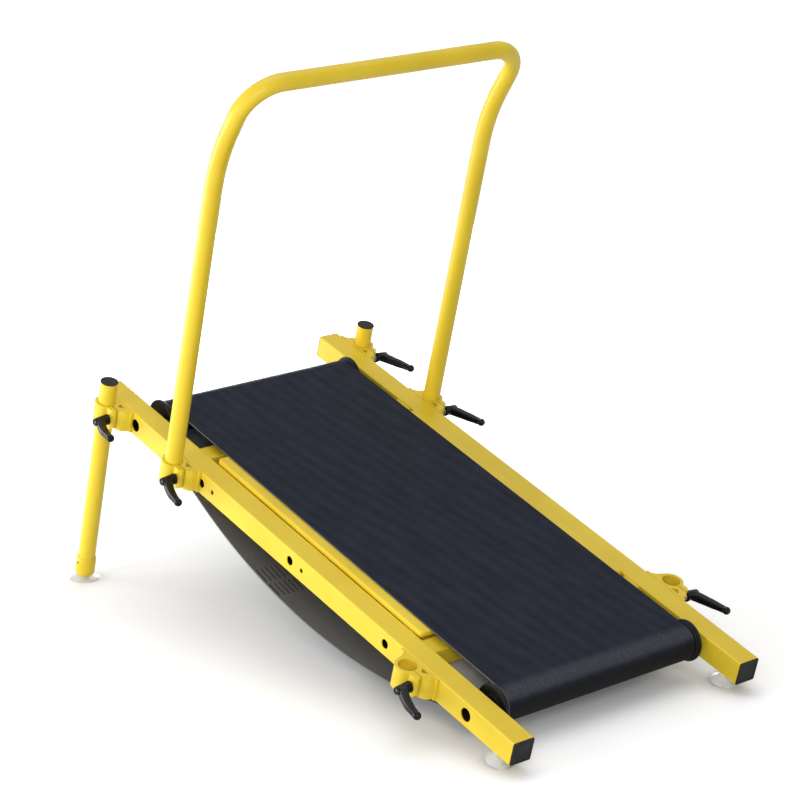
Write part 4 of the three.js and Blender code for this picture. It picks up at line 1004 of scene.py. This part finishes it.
def rear_cup(side):
    height = REAR_CUP_HEIGHT + (CUP_RADIUS - REAR_RIM) * math.tan(INCLINE)
    cup = turned(
        [
            (14, 0), (14, 4), (-SEAT, 4), (-SEAT, 11.4), (-SEAT - 0.6, 12), (-6, 11.6), (-9, 11), (-12, 12),
            (-15, 13.4), (-18, 15.6), (-21.6, 19), (-25, 23.4), (-27.4, 27), (-height + 1.2, REAR_RIM),
            (-height + 0.3, REAR_RIM), (-height, REAR_RIM - 0.4), (-height, REAR_RIM - 2.4),
            (-height + 1, REAR_RIM - 3.2), (-26, 21), (-23.4, 15.5), (-21.6, 9), (-21, 0),
        ]
    )
    lift = HEEL_FLAT / math.cos(INCLINE)
    floor = block(-70, 70, -70, 70, -CUP_RADIUS, 0)
    floor.transform(at(0, -CUP_RADIUS, lift - REAR_CUP_HEIGHT) @ Matrix.Rotation(-INCLINE, 4, "X"))
    spot = SIDES[side] @ at(RAIL_X, REAR_CUP_STATION, -RAIL_SIZE)
    piece(f"{side}_rear_cup", cut(cup, floor), CUP, "frame", spot, 0, [f"{side}_rear_suction_cup"])


# Handrail


def handrail_path():
    """(point, direction) from the right post's foot over the crossbar to the left post's foot."""
    back = math.radians(HANDRAIL_BACK_ANGLE)
    rise = Vector((0, -math.sin(back), math.cos(back)))
    inward = Vector((-1, 0, 0))
    path = [(Vector((TUBE_X, 0, COLLAR_TOP - COLLAR_HEIGHT)), Vector((0, 0, 1)))]
    for i in range(13):
        a = back * i / 12
        y = -HANDRAIL_BACK_RADIUS * (1 - math.cos(a))
        z = HANDRAIL_STRAIGHT + HANDRAIL_BACK_RADIUS * math.sin(a)
        path.append((Vector((TUBE_X, y, z)), Vector((0, -math.sin(a), math.cos(a)))))
    foot = path[-1][0] + rise * HANDRAIL_UPPER
    for i in range(25):
        a = math.pi / 2 * i / 24
        shift = inward * HANDRAIL_CORNER * (1 - math.cos(a)) + rise * HANDRAIL_CORNER * math.sin(a)
        path.append((foot + shift, rise * math.cos(a) + inward * math.sin(a)))
    mirror = Vector((-1, 1, 1))
    return path + [(p * mirror, Vector((d.x, -d.y, -d.z))) for p, d in reversed(path)]


def handrail():
    sides = 56
    walls = []
    for radius in (TUBE_RADIUS, TUBE_RADIUS - TUBE_WALL):
        rings = []
        for point, direction in handrail_path():
            side = direction.cross(Vector((0, 1, 0.35))).normalized()
            other = direction.cross(side)
            rings.append(
                [point + radius * (side * math.cos(a) + other * math.sin(a))
                 for a in (2 * math.pi * k / sides for k in range(sides))]
            )
        walls.append(rings)
    outer, inner = walls
    tube = stack(outer + inner[::-1], closed=True)
    piece("handrail_tube", tube, YELLOW, "handrail_body", at(0, STATIONS["middle"], 0), 0, ["handrail"], sharp=60)


# Inner pieces keep their CAD shapes


def dress(node, look):
    mesh = frame["nodes"][node].data
    mesh.materials.clear()
    mesh.materials.append(look[0])


# Stage


WHITE_RAYS = ("Is Camera Ray", "Is Glossy Ray", "Is Transmission Ray")


def ray_mix(tree, first, second):
    """A shader that is the second one for the rays that see a white studio, the first one otherwise."""
    rays = tree.nodes.new("ShaderNodeLightPath")
    seen = rays.outputs[WHITE_RAYS[0]]
    for kind in WHITE_RAYS[1:]:
        either = tree.nodes.new("ShaderNodeMath")
        either.operation = "MAXIMUM"
        tree.links.new(seen, either.inputs[0])
        tree.links.new(rays.outputs[kind], either.inputs[1])
        seen = either.outputs[0]
    mix = tree.nodes.new("ShaderNodeMixShader")
    tree.links.new(seen, mix.inputs[0])
    tree.links.new(first, mix.inputs[1])
    tree.links.new(second, mix.inputs[2])
    return mix.outputs[0]


FLOOR_SHADES = ((0.5, 1.0), (0.05, 1.2))  # reach in metres and power of the darkening near the treadmill
FLOOR_GLOW = {"From Min": 0.8, "From Max": 2.2, "To Min": 0.5, "To Max": 1.0}
FLOOR_REACH = 30


def stage():
    floor = bpy.data.materials.new("studio_floor")
    floor.use_nodes = True
    tree = floor.node_tree
    shader = tree.nodes["Principled BSDF"]
    shader.inputs["Base Color"].default_value = (0.7, 0.7, 0.7, 1)
    shader.inputs["Roughness"].default_value = 0.9
    shader.inputs["Specular IOR Level"].default_value = 0.0
    depths = []
    # Ambient occlusion darkens the floor's glow near the treadmill: a painted shadow, on top of the lamps' own
    # shadows.
    for distance, power in FLOOR_SHADES:
        near = tree.nodes.new("ShaderNodeAmbientOcclusion")
        near.inputs["Distance"].default_value = distance
        near.samples = 8
        depth = tree.nodes.new("ShaderNodeMath")
        depth.operation = "POWER"
        depth.inputs[1].default_value = power
        tree.links.new(near.outputs["AO"], depth.inputs[0])
        depths.append(depth.outputs[0])
    both = tree.nodes.new("ShaderNodeMath")
    both.operation = "MULTIPLY"
    for i, depth in enumerate(depths):
        tree.links.new(depth, both.inputs[i])
    # Its own glow rises away from the treadmill, where less lamp light falls on it.
    spot = tree.nodes.new("ShaderNodeNewGeometry")
    far = tree.nodes.new("ShaderNodeVectorMath")
    far.operation = "LENGTH"
    tree.links.new(spot.outputs["Position"], far.inputs[0])
    glow = tree.nodes.new("ShaderNodeMapRange")
    for name, value in FLOOR_GLOW.items():
        glow.inputs[name].default_value = value
    tree.links.new(far.outputs["Value"], glow.inputs["Value"])
    strength = tree.nodes.new("ShaderNodeMath")
    strength.operation = "MULTIPLY"
    tree.links.new(both.outputs[0], strength.inputs[0])
    tree.links.new(glow.outputs["Result"], strength.inputs[1])
    white = tree.nodes.new("ShaderNodeEmission")
    tree.links.new(strength.outputs[0], white.inputs["Strength"])
    lit = tree.nodes.new("ShaderNodeAddShader")
    tree.links.new(shader.outputs[0], lit.inputs[0])
    tree.links.new(white.outputs[0], lit.inputs[1])
    surface = ray_mix(tree, shader.outputs[0], lit.outputs[0])
    tree.links.new(surface, tree.nodes["Material Output"].inputs["Surface"])
    bm = bmesh.new()
    bmesh.ops.create_grid(bm, x_segments=1, y_segments=1, size=FLOOR_REACH)
    mesh = bpy.data.meshes.new("studio_floor")
    bm.to_mesh(mesh)
    bm.free()
    mesh.materials.append(floor)
    plane = bpy.data.objects.new("studio_floor", mesh)
    bpy.context.scene.collection.objects.link(plane)

    world = bpy.data.worlds.new("studio")
    bpy.context.scene.world = world
    world.use_nodes = True
    tree = world.node_tree
    ground = tree.nodes["Background"]
    ground.inputs["Color"].default_value = (1, 1, 1, 1)
    ground.inputs["Strength"].default_value = 0.3
    white = tree.nodes.new("ShaderNodeBackground")
    white.inputs["Color"].default_value = (1, 1, 1, 1)
    white.inputs["Strength"].default_value = 1.0
    surface = ray_mix(tree, ground.outputs[0], white.outputs[0])
    tree.links.new(surface, tree.nodes["World Output"].inputs["Surface"])


LAMPS = (
    ("key", (-3.4, 0.5, 0.9), (0, 0, 0.3), (1.6, 1.6), 50),
    ("sheen", (-2.2, 2.6, 0.35), (0, 0, 0.3), (2.0, 1.2), 72),
    ("top", (0.3, 0.2, 4.5), (0, 0, 0.2), (3.5, 3.5), 60),
    ("fill", (2.1, 3.1, 0.5), (0, 0, 0.3), (1.6, 0.9), 60),
    ("front", (-2.4, -3.3, 1.9), (0, 0, 0.4), (1.6, 1.6), 70),
)


def lamp(name, place, target, size, power):
    light = bpy.data.lights.new(name, "AREA")
    light.shape = "RECTANGLE"
    light.size, light.size_y = size
    light.energy = power
    obj = bpy.data.objects.new(name, light)
    bpy.context.scene.collection.objects.link(obj)
    obj.location = place
    obj.rotation_euler = (Vector(target) - Vector(place)).to_track_quat("-Z", "Y").to_euler()


CAMERA_PLACE = (-3.43152, -4.24762, 2.1661)
CAMERA_TURN = (73.1177, 0.5431, -39.0859)
CAMERA_LENS = 123.01


def camera():
    data = bpy.data.cameras.new("camera")
    data.lens = CAMERA_LENS
    data.sensor_width = 36
    data.clip_end = 100
    obj = bpy.data.objects.new("camera", data)
    bpy.context.scene.collection.objects.link(obj)
    obj.location = CAMERA_PLACE
    obj.rotation_euler = [math.radians(angle) for angle in CAMERA_TURN]
    bpy.context.scene.camera = obj


# Build

camera()
stage()
for settings in LAMPS:
    lamp(*settings)
bpy.context.scene.view_settings.view_transform = "Standard"

for side in SIDES:
    rail(side)
    for end in AXLES:
        rail_cap(side, end)
    for (place, _), angle in zip(STATIONS.items(), LEVER_ANGLES[side]):
        clamp(side, place)
        clamp_lever(side, place, angle)
    leg(side)
    rear_cup(side)
cross_tube("rear", REAR_CROSS_STATION)
cross_tube("front", FRONT_CROSS_STATION)
deck_board()
running_belt()
belly_pan()
for end in AXLES:
    roller(end)
handrail()

for place in SUPPORTS:
    dress(f"{place}_deck_support", YELLOW)
for end in AXLES:
    dress(f"{end}_axle", RAW_STEEL)
    for side in SIDES:
        dress(f"{side}_{end}_bearing", DARK_STEEL)
        dress(f"{side}_{end}_axle_bolt", STEEL)
